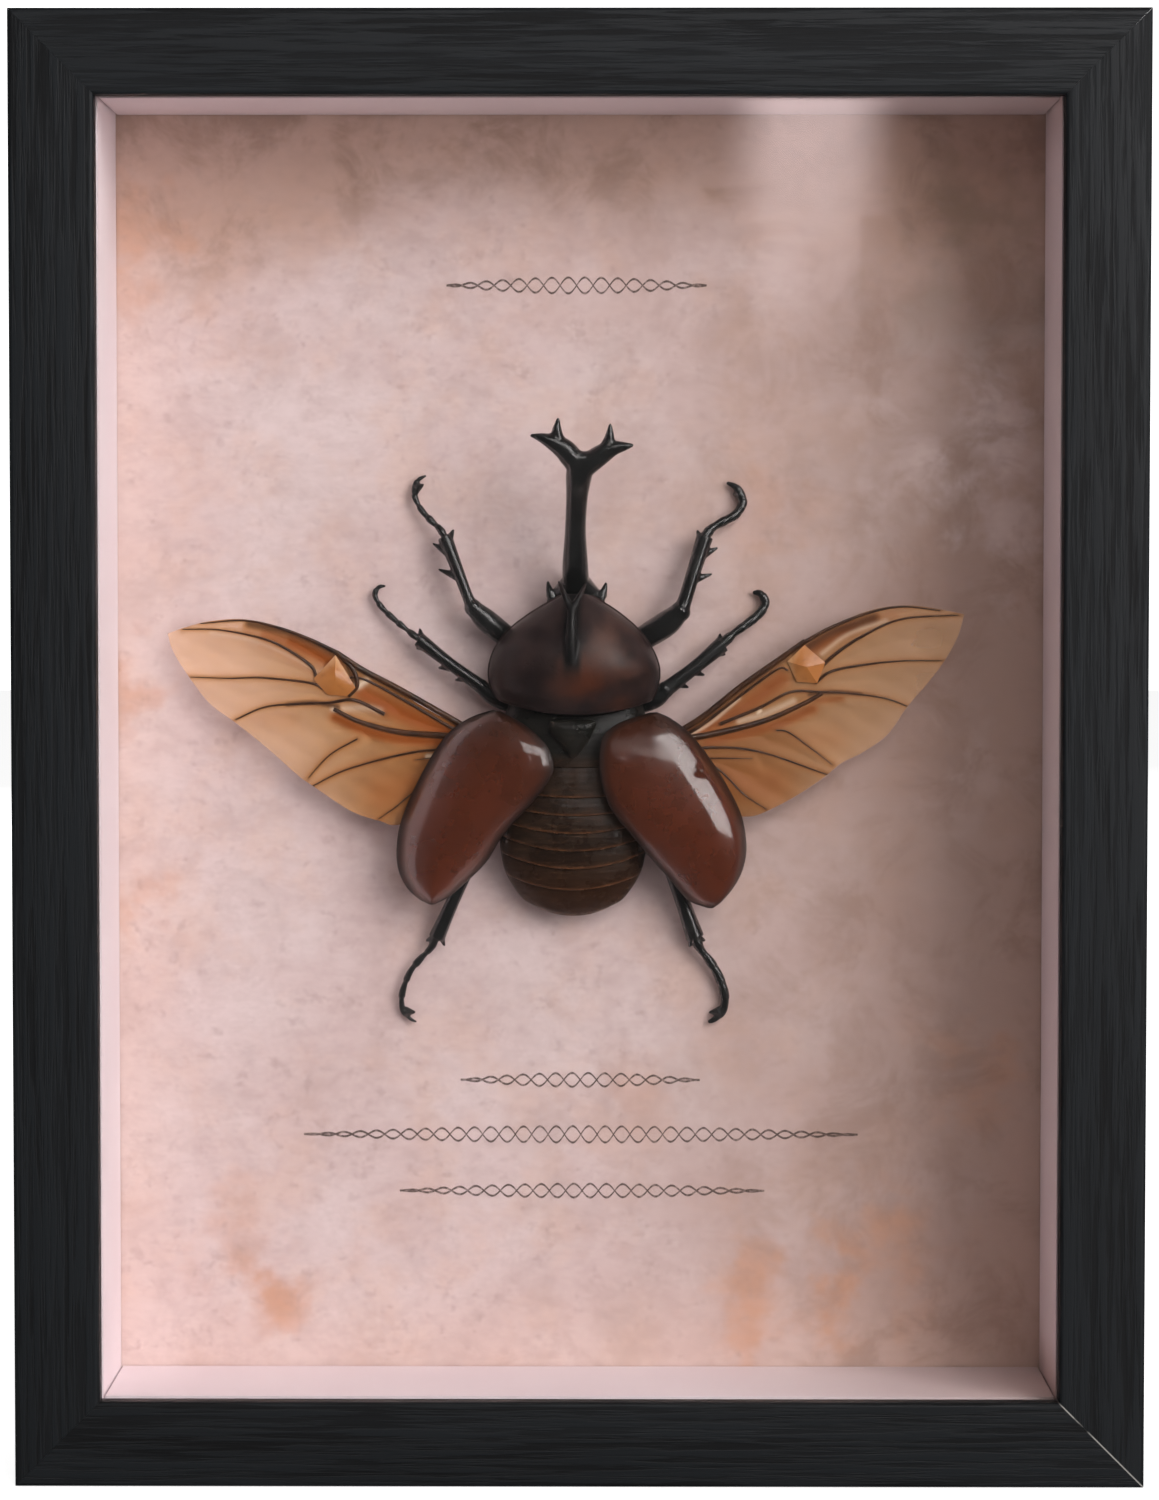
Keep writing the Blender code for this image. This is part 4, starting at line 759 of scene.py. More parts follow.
# Legs. Six black legs, each a thick thigh, a toothed shin, a foot of five short joints and a
# hooked claw, dried in place with the feet curled in.
LEGS = {  # centre line, how many of its points belong to the thigh and to the shin, spines
    "leg_front_left": (
        ((-8.2, 127.0, 1.7, 0.9), (-11.0, 128.8, 2.4, 1.45), (-14.6, 131.7, 3.7, 1.6),
         (-16.8, 133.8, 4.5, 1.15), (-17.6, 135.4, 4.5, 0.8), (-19.3, 139.8, 4.0, 0.85),
         (-21.3, 144.9, 3.2, 1.05), (-22.1, 146.2, 2.8, 0.5), (-23.7, 147.7, 2.2, 0.55),
         (-25.3, 149.6, 1.7, 0.45), (-26.2, 151.9, 1.2, 0.45), (-25.6, 153.8, 1.0, 0.4),
         (-24.3, 154.6, 0.9, 0.15)), 4, 3,
        (((-20.4, 142.2, 3.6), (-23.8, 144.3, 3.0)), ((-19.0, 138.6, 4.1), (-23.0, 140.1, 3.4)),
         ((-20.8, 144.2, 3.4), (-19.7, 146.5, 2.8)), ((-26.0, 152.4, 1.2), (-24.4, 153.4, 0.7))),
    ),
    "leg_front_right": (
        ((6.4, 127.2, 1.7, 0.9), (9.4, 128.7, 2.4, 1.45), (13.4, 131.2, 3.7, 1.6),
         (15.7, 133.2, 4.5, 1.2), (16.4, 134.9, 4.5, 0.9), (18.0, 140.0, 4.0, 0.9),
         (19.6, 145.0, 3.3, 1.05), (20.7, 146.3, 2.8, 0.55), (22.4, 147.3, 2.3, 0.6),
         (24.5, 148.5, 1.7, 0.6), (25.6, 150.5, 1.2, 0.6), (24.7, 152.6, 1.0, 0.5),
         (23.1, 153.5, 0.9, 0.2)), 4, 3,
        (((19.0, 142.0, 3.6), (22.2, 143.5, 3.0)), ((17.6, 138.2, 4.1), (21.4, 139.3, 3.4)),
         ((19.1, 144.2, 3.4), (18.2, 146.4, 2.8)), ((25.3, 151.4, 1.2), (23.8, 151.8, 0.7))),
    ),
    "leg_middle_left": (
        ((-9.6, 117.6, 2.2, 0.8), (-13.4, 119.6, 3.2, 1.2), (-15.6, 121.4, 3.7, 1.0),
         (-20.5, 125.0, 3.6, 0.85), (-25.4, 128.8, 3.0, 1.05), (-26.9, 130.0, 2.5, 0.45),
         (-28.8, 131.5, 2.0, 0.5), (-31.2, 133.7, 1.4, 0.45), (-32.4, 135.7, 1.1, 0.42),
         (-31.8, 137.0, 1.0, 0.38), (-30.7, 137.2, 0.9, 0.15)), 3, 2,
        (((-23.4, 127.4, 3.3), (-26.4, 127.4, 2.6)), ((-19.8, 124.4, 3.6), (-22.9, 124.3, 2.9)),
         ((-17.4, 122.8, 3.7), (-20.2, 122.3, 3.0)), ((-24.8, 128.4, 3.1), (-25.4, 131.0, 2.4))),
    ),
    "leg_middle_right": (
        ((7.8, 117.6, 2.2, 0.8), (11.6, 119.4, 3.2, 1.2), (13.4, 120.9, 3.7, 1.0),
         (18.0, 124.4, 3.6, 0.85), (22.4, 128.1, 3.0, 1.05), (24.0, 129.6, 2.5, 0.55),
         (26.2, 131.2, 2.0, 0.6), (28.2, 132.8, 1.4, 0.6), (29.2, 134.6, 1.1, 0.58),
         (28.4, 136.0, 1.0, 0.5), (27.2, 136.2, 0.9, 0.2)), 3, 2,
        (((20.6, 126.6, 3.3), (23.4, 126.4, 2.6)), ((17.4, 123.9, 3.6), (20.1, 123.0, 2.9)),
         ((15.0, 122.0, 3.7), (17.5, 121.1, 3.0)), ((21.8, 127.7, 3.1), (22.1, 130.2, 2.4))),
    ),
    "leg_hind_left": (
        ((-12.3, 102.0, 1.5, 0.9), (-14.8, 98.9, 2.3, 1.5), (-16.8, 95.2, 3.0, 1.3),
         (-17.8, 92.6, 3.2, 0.95), (-20.4, 86.8, 2.9, 0.95), (-22.7, 81.6, 2.4, 1.15),
         (-23.7, 79.9, 2.1, 0.5), (-25.5, 78.0, 1.8, 0.55), (-27.1, 75.8, 1.5, 0.48),
         (-28.2, 72.6, 1.2, 0.5), (-28.1, 70.0, 1.0, 0.42), (-26.9, 68.6, 0.9, 0.3),
         (-25.9, 68.1, 0.8, 0.12)), 4, 2,
        (((-22.2, 82.6, 2.6), (-21.3, 79.8, 1.9)), ((-22.5, 82.0, 2.4), (-24.8, 80.9, 1.8)),
         ((-20.0, 87.6, 2.9), (-21.9, 86.0, 2.4)), ((-27.6, 69.8, 1.1), (-25.8, 69.6, 0.7))),
    ),
    "leg_hind_right": (
        ((10.8, 102.0, 1.5, 0.9), (12.8, 98.6, 2.3, 1.5), (14.0, 95.0, 3.0, 1.3),
         (14.5, 92.4, 3.2, 0.95), (16.4, 86.8, 2.9, 0.95), (18.2, 81.7, 2.4, 1.15),
         (19.0, 79.9, 2.1, 0.55), (20.6, 77.8, 1.8, 0.6), (22.0, 75.4, 1.5, 0.6),
         (22.9, 72.4, 1.2, 0.6), (22.6, 69.9, 1.0, 0.5), (21.3, 68.6, 0.9, 0.4),
         (20.3, 68.1, 0.8, 0.2)), 4, 2,
        (((17.8, 82.6, 2.6), (17.2, 79.6, 1.9)), ((18.0, 82.2, 2.4), (20.2, 80.9, 1.8)),
         ((16.1, 87.6, 2.9), (17.9, 85.9, 2.4)), ((22.1, 69.9, 1.1), (20.0, 69.6, 0.7))),
    ),
}
SPINE_LENGTH = 0.82
SPINE_RADII = (0.85, 0.52, 0.16)
FOOT_JOINTS = 5
LEG_CELL = 0.13
JOINT_WAIST = {"left": 0.34, "right": 0.14}  # how much the foot narrows between two joints
FULLNESS = {"left": 1.14, "right": 1.28}  # the right legs dried less

for leg, (line, thigh, shin, spines) in LEGS.items():
    _, pair, side = leg.split("_")
    line = [(x, y, z, radius * FULLNESS[side]) for x, y, z, radius in line]
    bend = line[thigh - 1]
    shapes = [
        tube(smooth_line(line[:thigh], 40), 24),
        ball(bend[0], bend[1], bend[2], bend[3] * 1.08),
        tube(smooth_line(line[thigh - 1:thigh + shin], 40), 24),
    ]
    foot = smooth_line(line[thigh + shin - 1:], 90)
    foot[:, 3] = np.minimum(foot[:, 3], line[thigh + shin][3] * 1.25)
    joint = np.linspace(0, FOOT_JOINTS + 0.75, 90) % 1
    foot[:, 3] *= 1 - JOINT_WAIST[side] * (1 - joint) ** 2
    shapes.append(tube(foot, 20))
    for root, point in spines:
        tip = [a + SPINE_LENGTH * (b - a) for a, b in zip(root, point)]
        middle = [(a + b) / 2 for a, b in zip(root, tip)]
        stations = [(*spot, radius) for spot, radius in zip((root, middle, tip), SPINE_RADII)]
        shapes.append(tube(smooth_line(stations, 12), 14))
    beetle_piece(f"{side}_{pair}_leg", grown_together(shapes, LEG_CELL, 2), black_chitin, leg)

# Wing cases. The two hard front wings, raised and turned out: thin crowned shells, red brown with
# a dark rim all round, glossy, with a faint row of lines along them.
WING_CASES = {  # outer and inner edge from the root to the tip
    "wing_case_left": (
        ((-13.6, 117.9, 8.6), (-16.5, 117.0, 8.4), (-19.3, 115.4, 8.0), (-21.7, 113.0, 7.6),
         (-24.3, 108.8, 7.2), (-26.7, 104.0, 6.9), (-28.3, 99.6, 6.7), (-28.8, 95.4, 6.6),
         (-28.4, 92.3, 6.5), (-27.1, 89.8, 6.5), (-25.3, 88.1, 6.5), (-23.9, 87.4, 6.6)),
        ((-12.4, 117.7, 8.9), (-10.4, 116.7, 9.9), (-8.2, 115.4, 11.2), (-6.1, 113.6, 12.3),
         (-4.6, 111.6, 12.9), (-4.0, 109.2, 13.0), (-4.8, 107.0, 12.8), (-7.2, 103.8, 12.2),
         (-11.8, 98.6, 10.8), (-14.4, 94.4, 9.2), (-17.2, 91.4, 8.0), (-20.4, 88.6, 7.2),
         (-22.6, 87.4, 6.8)),
    ),
    "wing_case_right": (
        ((12.0, 117.6, 8.6), (14.2, 116.6, 8.4), (16.8, 114.6, 8.0), (19.4, 111.6, 7.6),
         (22.6, 106.8, 7.2), (25.2, 101.6, 6.9), (26.1, 96.9, 6.7), (25.7, 93.3, 6.6),
         (24.4, 90.4, 6.5), (22.5, 88.0, 6.5), (21.0, 86.9, 6.6)),
        ((10.8, 117.5, 8.9), (8.4, 116.8, 9.9), (5.6, 115.7, 11.2), (3.6, 113.9, 12.4),
         (3.0, 111.6, 12.9), (3.0, 109.2, 13.0), (3.6, 105.6, 12.6), (5.2, 102.0, 12.0),
         (8.6, 97.8, 10.9), (11.2, 94.6, 9.4), (14.0, 91.4, 8.2), (17.0, 88.0, 7.2), (19.8, 86.8, 6.8)),
    ),
}
CASE_CROWN = 3.6
CASE_CROWN_ROOT = 0.028
CASE_PROFILE = {  # how high it is crowned from the inner to the outer edge
    "left": ((0, 0), (0.10, 0.42), (0.25, 0.78), (0.5, 1.0), (0.75, 0.78), (0.90, 0.42), (1, 0)),
    "right": (
        (0, 0), (0.10, 0.30), (0.28, 0.62), (0.46, 0.82), (0.62, 0.95), (0.74, 1.0), (0.84, 0.96),
        (0.91, 0.86), (0.965, 0.50), (1, 0),
    ),
}
CASE_STRIAE = 0.006  # height of the faint lines along them
CASE_SHELL = 0.6 * MM
CASE_RIM = 1.25  # how wide the dark rim is
CASE_BEAD, CASE_GROOVE = 0.08, 0.06  # the raised edge and the groove inside it
ROOT_SHADE_DOWN, ROOT_SHADE_ACROSS = 0.28, 0.34  # how far the dark root reaches, in shares
DULL_FROM, DULL_FADE = 0.50, 0.16  # the inner part of the right one is dull near its root
DULL_DOWN, DULL_REACH = 0.13, 0.16
CASE_BUMP = (19.1, 108.6, 1.1)  # a small blister on the right one: across, up, radius

red_chitin, tree, surface, place = new_finish(
    "red_chitin", Coat_Roughness=0.10, Coat_IOR=1.8, Specular_IOR_Level=0.2
)
skin = shade(tree, "Group", {"Place": place, "Pits": 1400}, node_tree=shell_skin).outputs
rim = shade(tree, "Attribute", attribute_name="rim").outputs["Fac"]
root = shade(tree, "Attribute", attribute_name="root").outputs["Fac"]
shell = mixed(tree, skin["Clouds"], (0.074, 0.0150, 0.0050, 1), (0.090, 0.0180, 0.0060, 1))
shell = mixed(tree, worked(tree, "MULTIPLY", root, 0.8), shell, (0.018, 0.009, 0.005, 1))
shell = mixed(tree, worked(tree, "MULTIPLY", rim, 0.92), shell, (0.010, 0.006, 0.005, 1))
roughness = spread(tree, skin["Clouds"], 0, 1, 0.24, 0.32)
roughness = worked(tree, "ADD", roughness, worked(tree, "MULTIPLY", rim, 0.25))
dull = shade(tree, "Attribute", attribute_name="dull").outputs["Fac"]
lacquer = worked(tree, "MULTIPLY", spread(tree, rim, 0, 0.8, 1.0, 0.12), spread(tree, dull, 0, 1, 1.0, 0.0))
feed(tree, surface, Base_Color=shell, Roughness=roughness, Coat_Weight=lacquer)
relief(tree, surface, skin["Height"], 0.008 * MM, 0.2)


def crowned_shell(outer, inner, profile, rows=110, columns=60):
    """A sheet between two edges that rises between them, with its rim, root and dull part marked."""
    profile = smooth_line(profile, 80)
    points, rim, root, dull = [], [], [], []
    for row, (a, b) in enumerate(zip(smooth_line(inner, rows), smooth_line(outer, rows))):
        along = (row / (rows - 1) + CASE_CROWN_ROOT) / (1 + 2 * CASE_CROWN_ROOT)
        crown = CASE_CROWN * (0.6 + 1.0 * along) * math.sin(math.pi * along) ** 0.4
        width = np.linalg.norm(a - b)
        for column in range(columns):
            across = column / (columns - 1)
            x, y, z = a * (1 - across) + b * across
            lift = crown * np.interp(across, profile[:, 0], profile[:, 1])
            lift += CASE_STRIAE * math.sin(math.pi * across) * math.sin(48 * across + 2 * math.sin(9 * along))
            inward = min(across, 1 - across) * width
            bead = CASE_BEAD * math.exp(-((inward / 0.5) ** 2))
            bead -= CASE_GROOVE * math.exp(-(((inward - 1.0) / 0.4) ** 2))
            if x > 0:
                away = math.hypot(x - CASE_BUMP[0], y - CASE_BUMP[1]) / CASE_BUMP[2]
                lift += 0.75 * math.exp(-(away**2) * 1.6)
            points.append((x, y, z + lift + bead))
            end = (1 - row / (rows - 1)) * 30
            rim.append(math.exp(-((min(inward, end) / CASE_RIM) ** 2)))
            down = row / (rows - 1)
            shaded = 0.95 * math.exp(-((across / ROOT_SHADE_ACROSS) ** 2)) * max(0.0, 1 - down / 0.8)
            root.append(max(math.exp(-((down / ROOT_SHADE_DOWN) ** 2)), shaded))
            inner_part = 1 - min(max((across - DULL_FROM) / DULL_FADE, 0), 1) if x > 0 else 0.0
            dull.append(inner_part * min(1.0, 1.3 * math.exp(-(((down - DULL_DOWN) / DULL_REACH) ** 2))))
    faces = [
        (i * columns + j, i * columns + j + 1, (i + 1) * columns + j + 1, (i + 1) * columns + j)
        for i in range(rows - 1) for j in range(columns - 1)
    ]
    mesh = bpy.data.meshes.new("shell")
    mesh.from_pydata(points, [], faces)
    for label, values in (("rim", rim), ("root", root), ("dull", dull)):
        mesh.attributes.new(label, "FLOAT", "POINT").data.foreach_set("value", values)
    return mesh


for node, (outer, inner) in WING_CASES.items():
    mesh = crowned_shell(outer, inner, CASE_PROFILE[node.rsplit("_", 1)[1]])
    case = beetle_piece(node.replace("wing_case", "raised_case"), mesh, red_chitin, node)
    shell_wall = case.modifiers.new("shell_wall", "SOLIDIFY")
    shell_wall.thickness = CASE_SHELL
    shell_wall.offset = -1

# Hind wings. Two thin amber membranes stretched between dark horny veins, each with a stiff
# double vein in front and a folded joint where it doubles up under its case.
WINGS = {  # front and rear edge from root to tip, veins with two radii, soft stains, folded joint
    "hind_wing_left": (
        ((-13.9, 112.4), (-19.2, 115.3), (-25.5, 118.8), (-29.9, 121.8), (-34.0, 123.9), (-38.2, 126.6),
         (-42.8, 129.1), (-47.8, 130.9), (-53.0, 132.0), (-58.6, 131.6), (-62.7, 130.5), (-64.9, 129.7)),
        ((-14.3, 105.4), (-20.0, 102.2), (-28.3, 99.7), (-31.5, 100.3), (-36.2, 101.9), (-42.2, 105.9),
         (-44.6, 107.6), (-49.6, 112.0), (-54.3, 115.8), (-58.2, 118.6), (-61.5, 122.9), (-64.0, 126.8),
         (-64.9, 129.7)),
        (
            (((-14.0, 112.6), (-19.2, 115.8), (-28.3, 121.0), (-34.0, 124.0), (-38.3, 126.8)), 0.52, 0.44),
            (((-14.0, 111.7), (-19.7, 114.7), (-28.3, 119.7), (-34.0, 122.6), (-36.6, 122.6), (-35.2, 120.9)),
             0.32, 0.16),
            (((-38.2, 126.8), (-42.8, 129.0), (-47.8, 130.8), (-53.0, 131.8), (-59.7, 131.3)), 0.34, 0.08),
            (((-41.4, 122.9), (-42.4, 124.8), (-46.4, 127.5), (-50.0, 129.0), (-56.6, 130.3), (-62.5, 130.4)),
             0.26, 0.07),
            (((-40.1, 120.9), (-42.4, 122.0), (-50.0, 122.8), (-55.0, 122.7), (-61.3, 122.9)), 0.22, 0.06),
            (((-30.7, 117.1), (-35.4, 119.3), (-39.3, 118.9), (-44.0, 118.7), (-49.5, 118.2), (-54.2, 116.2)),
             0.30, 0.10),
            (((-14.3, 113.0), (-20.9, 113.7), (-28.3, 114.3), (-34.6, 115.9), (-38.7, 117.9)), 0.60, 0.32),
            (((-14.4, 111.0), (-22.0, 111.5), (-28.3, 110.7), (-36.9, 108.3), (-42.0, 105.8)), 0.26, 0.09),
            (((-35.0, 113.2), (-39.3, 110.7), (-42.7, 107.1)), 0.13, 0.06),
            (((-22.0, 108.0), (-26.7, 104.4), (-29.1, 102.4), (-31.8, 100.5)), 0.15, 0.07),
            (((-14.4, 110.4), (-20.0, 110.6), (-26.0, 109.9)), 0.12, 0.05),
            (((-37.8, 126.4), (-35.7, 124.2), (-35.0, 121.6), (-36.4, 119.9)), 0.42, 0.30),
        ),
        {
            "amber": (
                (((-38.5, 125.0), (-42.0, 126.8), (-45.5, 128.4)), 1.9, 1.0),
                (((-45.0, 128.2), (-49.5, 129.6)), 1.8, 0.85),
                (((-49.5, 129.6), (-52.5, 130.3)), 1.6, 0.65),
                (((-52.5, 130.3), (-55.5, 130.5)), 1.4, 0.45),
                (((-55.5, 130.5), (-59.5, 130.4)), 1.2, 0.25),
                (((-17.0, 113.0), (-22.0, 114.8), (-28.3, 117.4), (-34.0, 120.2)), 1.9, 1.0),
                (((-38.5, 116.6), (-34.0, 114.6), (-28.3, 113.2), (-20.0, 112.6)), 1.1, 1.0),
                (((-41.5, 124.0), (-46.0, 126.6), (-50.0, 128.4)), 1.1, 0.6),
                (((-16.0, 107.5), (-24.0, 106.0), (-31.0, 104.5)), 4.5, 0.55),
                (((-46.0, 116.5), (-52.0, 117.0)), 2.2, 0.3),
            ),
            "dark": (
                (((-38.5, 126.6), (-42.6, 128.7), (-47.0, 130.3), (-52.0, 131.3)), 0.8, 0.8),
                (((-16.0, 114.0), (-22.0, 117.2), (-30.0, 121.6), (-37.0, 125.2)), 0.6, 0.7),
                (((-38.0, 118.2), (-42.0, 118.9), (-46.0, 118.6)), 0.5, 0.8),
                (((-36.6, 124.6), (-35.1, 121.0)), 0.35, 0.9),
            ),
            "pale": (
                (((-31.5, 117.6), (-33.5, 118.1), (-37.0, 118.0)), 0.55, 0.5),
                (((-41.4, 123.8), (-46.0, 126.4), (-52.0, 128.8), (-58.0, 129.8)), 0.35, 0.3),
                (((-20.0, 110.9), (-24.0, 110.5)), 0.3, 0.9),
                (((-33.6, 122.3), (-35.0, 121.4)), 0.5, 0.95),
                (((-38.6, 117.7), (-38.9, 117.8)), 0.32, 1.0),
            ),
        },
        ((-38.4, 126.4), (-35.2, 121.2), (-36.6, 119.9), (-39.6, 120.1), (-41.9, 122.6)),
    ),
    "hind_wing_right": (
        ((12.3, 112.4), (17.4, 115.4), (21.4, 118.6), (24.6, 121.0), (30.0, 124.9), (33.8, 127.7),
         (38.4, 130.3), (42.6, 132.4), (47.1, 133.8), (51.4, 134.2), (55.8, 133.7), (60.3, 132.8)),
        ((12.7, 105.4), (19.0, 102.6), (26.0, 101.0), (30.4, 102.4), (34.8, 104.8), (38.8, 107.6),
         (41.0, 109.4), (44.6, 111.2), (48.4, 114.0), (51.4, 118.3), (54.6, 122.0), (57.0, 125.2),
         (59.2, 129.0), (60.3, 132.8)),
        (
            (((12.5, 112.7), (18.8, 116.4), (25.4, 121.6), (32.2, 126.4), (35.3, 128.6)), 0.52, 0.44),
            (((12.5, 111.8), (18.4, 115.0), (25.4, 120.2), (31.0, 124.2), (32.6, 124.0)), 0.32, 0.16),
            (((35.3, 128.5), (39.3, 130.7), (44.8, 132.9), (50.3, 134.0), (56.5, 133.4)), 0.34, 0.08),
            (((37.6, 124.2), (39.6, 126.2), (44.0, 129.2), (50.3, 132.0), (59.4, 132.7)), 0.30, 0.07),
            (((36.9, 122.0), (39.6, 123.9), (45.5, 125.0), (51.0, 125.5), (56.8, 125.5)), 0.24, 0.06),
            (((22.0, 115.6), (28.3, 118.2), (33.0, 120.6), (37.7, 120.6), (42.4, 120.4), (47.9, 119.6),
              (51.3, 118.4)), 0.28, 0.10),
            (((12.6, 112.9), (19.6, 113.8), (28.3, 115.9), (34.5, 118.5), (38.0, 120.4)), 0.58, 0.32),
            (((12.8, 111.0), (20.7, 111.9), (28.3, 111.2), (38.9, 107.6)), 0.26, 0.09),
            (((30.8, 114.6), (32.7, 114.3), (36.1, 111.9), (39.6, 109.2)), 0.13, 0.06),
            (((12.8, 110.2), (21.7, 110.2), (27.0, 110.2)), 0.18, 0.05),
            (((19.0, 110.2), (22.3, 108.0), (25.9, 104.4), (29.3, 102.2)), 0.17, 0.07),
        ),
        {
            "amber": (
                (((36.5, 127.4), (40.0, 129.4), (43.0, 130.8)), 1.7, 0.95),
                (((43.0, 130.8), (46.5, 132.1)), 1.6, 0.8),
                (((46.5, 132.1), (49.5, 132.8)), 1.5, 0.6),
                (((49.5, 132.9), (52.5, 133.1)), 1.3, 0.4),
                (((52.5, 133.1), (56.0, 132.9)), 1.2, 0.22),
                (((16.0, 113.0), (20.0, 115.0), (26.0, 118.4), (31.5, 122.6)), 1.8, 1.0),
                (((36.5, 118.0), (30.0, 115.2), (20.0, 112.7)), 1.1, 1.0),
                (((37.0, 119.2), (41.0, 119.6)), 0.8, 0.8),
                (((16.0, 107.5), (24.0, 106.5), (30.0, 105.8)), 4.5, 0.7),
                (((26.0, 113.0), (34.0, 112.6), (40.0, 113.2)), 2.4, 0.35),
            ),
            "dark": (
                (((35.5, 127.6), (40.0, 130.2), (46.0, 132.2)), 1.0, 0.75),
                (((14.0, 113.4), (20.0, 117.2), (26.0, 121.6), (32.0, 126.0)), 0.8, 0.8),
                (((36.0, 120.2), (40.0, 120.6), (44.0, 120.3)), 0.45, 0.8),
                (((33.5, 126.4), (34.6, 127.4)), 0.4, 0.7),
            ),
            "pale": (
                (((25.0, 116.0), (29.0, 117.2), (33.5, 119.2)), 0.5, 0.5),
                (((38.0, 126.6), (42.0, 129.6), (48.0, 131.8)), 0.35, 0.4),
                (((28.0, 117.3), (28.3, 117.6)), 0.3, 1.0),
                (((14.0, 112.2), (20.0, 115.4), (25.0, 119.6)), 0.25, 0.5),
            ),
        },
        ((32.5, 125.4), (35.2, 128.0), (38.5, 125.2), (37.2, 122.0), (34.0, 122.2)),
    ),
}
WING_ROOT_Z = 5.7
WING_ROOT_X = 13.0
WING_FALL = 0.03  # how much a wing drops for each millimetre away from the body
WING_SAG = 0.5  # how deep the membrane hangs between its veins
FOLD_LIFT = 1.5
FOLD_PALENESS = (0.45, 0.0, 0.0, 0.0, 0.1, 0.0, 0.0)  # its corners from the apex round, peak, keel

wing_membrane, tree, surface, place = new_finish("wing_membrane", Roughness=0.55, Specular_IOR_Level=0.2)
amber, dark, pale = (
    shade(tree, "Attribute", attribute_name=label).outputs["Fac"] for label in ("amber", "dark", "pale")
)
clouds = spread(tree, noise(tree, place, 130, 5, 0.6), 0.3, 0.7)
wrinkles = noise(tree, scaled(tree, place, 1, 1, 1.8), 620, 3, 0.55)
sideways = shade(tree, "SeparateXYZ", {0: place}).outputs["X"]
reach = worked(tree, "ABSOLUTE", sideways)
toward_tip = spread(tree, reach, 22 * MM, 62 * MM)
film = mixed(tree, clouds, (0.32, 0.140, 0.040, 1), (0.45, 0.215, 0.072, 1))
film = mixed(tree, toward_tip, film, (0.97, 0.56, 0.27, 1))
film = mixed(tree, amber, film, (0.33, 0.080, 0.012, 1))
# Painted shade: the right wing is tinted browner and darker than the left.
right_wing_shade = spread(tree, sideways, -5 * MM, 5 * MM, 0.05, 0.36)
film = mixed(tree, right_wing_shade, film, (0.20, 0.095, 0.040, 1))
film = mixed(tree, dark, film, (0.045, 0.014, 0.005, 1))
film = mixed(tree, pale, film, (0.86, 0.66, 0.48, 1))
density = spread(tree, toward_tip, 0, 1, 0.72, 0.44)
density = worked(tree, "ADD", density, worked(tree, "MULTIPLY", amber, 0.5))
density = worked(tree, "MINIMUM", worked(tree, "ADD", density, dark), 1.0)
feed(tree, surface, Base_Color=film, Alpha=density)
relief(tree, surface, wrinkles, 0.05 * MM, 0.3)

dark_vein, tree, surface, place = new_finish("dark_vein", Roughness=0.3, Coat_Weight=0.3)
clouds = spread(tree, noise(tree, place, 300, 4), 0.3, 0.7)
vein = mixed(tree, clouds, (0.024, 0.0085, 0.0035, 1), (0.070, 0.026, 0.009, 1))
feed(tree, surface, Base_Color=vein)
relief(tree, surface, noise(tree, place, 1600, 3), 0.05 * MM, 0.4)

folded_film, tree, surface, place = new_finish("folded_film", Roughness=0.35, Coat_Weight=0.3)
facing = shade(tree, "Attribute", attribute_name="pale").outputs["Fac"]
fold = mixed(tree, facing, (0.46, 0.17, 0.040, 1), (0.88, 0.60, 0.34, 1))
fold = mixed(tree, spread(tree, noise(tree, place, 700, 4), 0.5, 0.75, 0, 0.5), fold, (0.20, 0.06, 0.015, 1))
feed(tree, surface, Base_Color=fold)
relief(tree, surface, noise(tree, place, 900, 4), 0.12 * MM, 0.5)


def nearest_stroke(points, line):
    """How far each point lies from a line, both in the plane of the card."""
    line = np.array(line, float)
    best = np.full(len(points), np.inf)
    for a, b in zip(line, line[1:]):
        run = b - a
        share = np.clip(((points - a) @ run) / (run @ run), 0, 1)
        best = np.minimum(best, np.linalg.norm(points - a - share[:, None] * run, axis=1))
    return best


def wing_height(x):
    return WING_ROOT_Z - WING_FALL * (abs(x) - WING_ROOT_X)


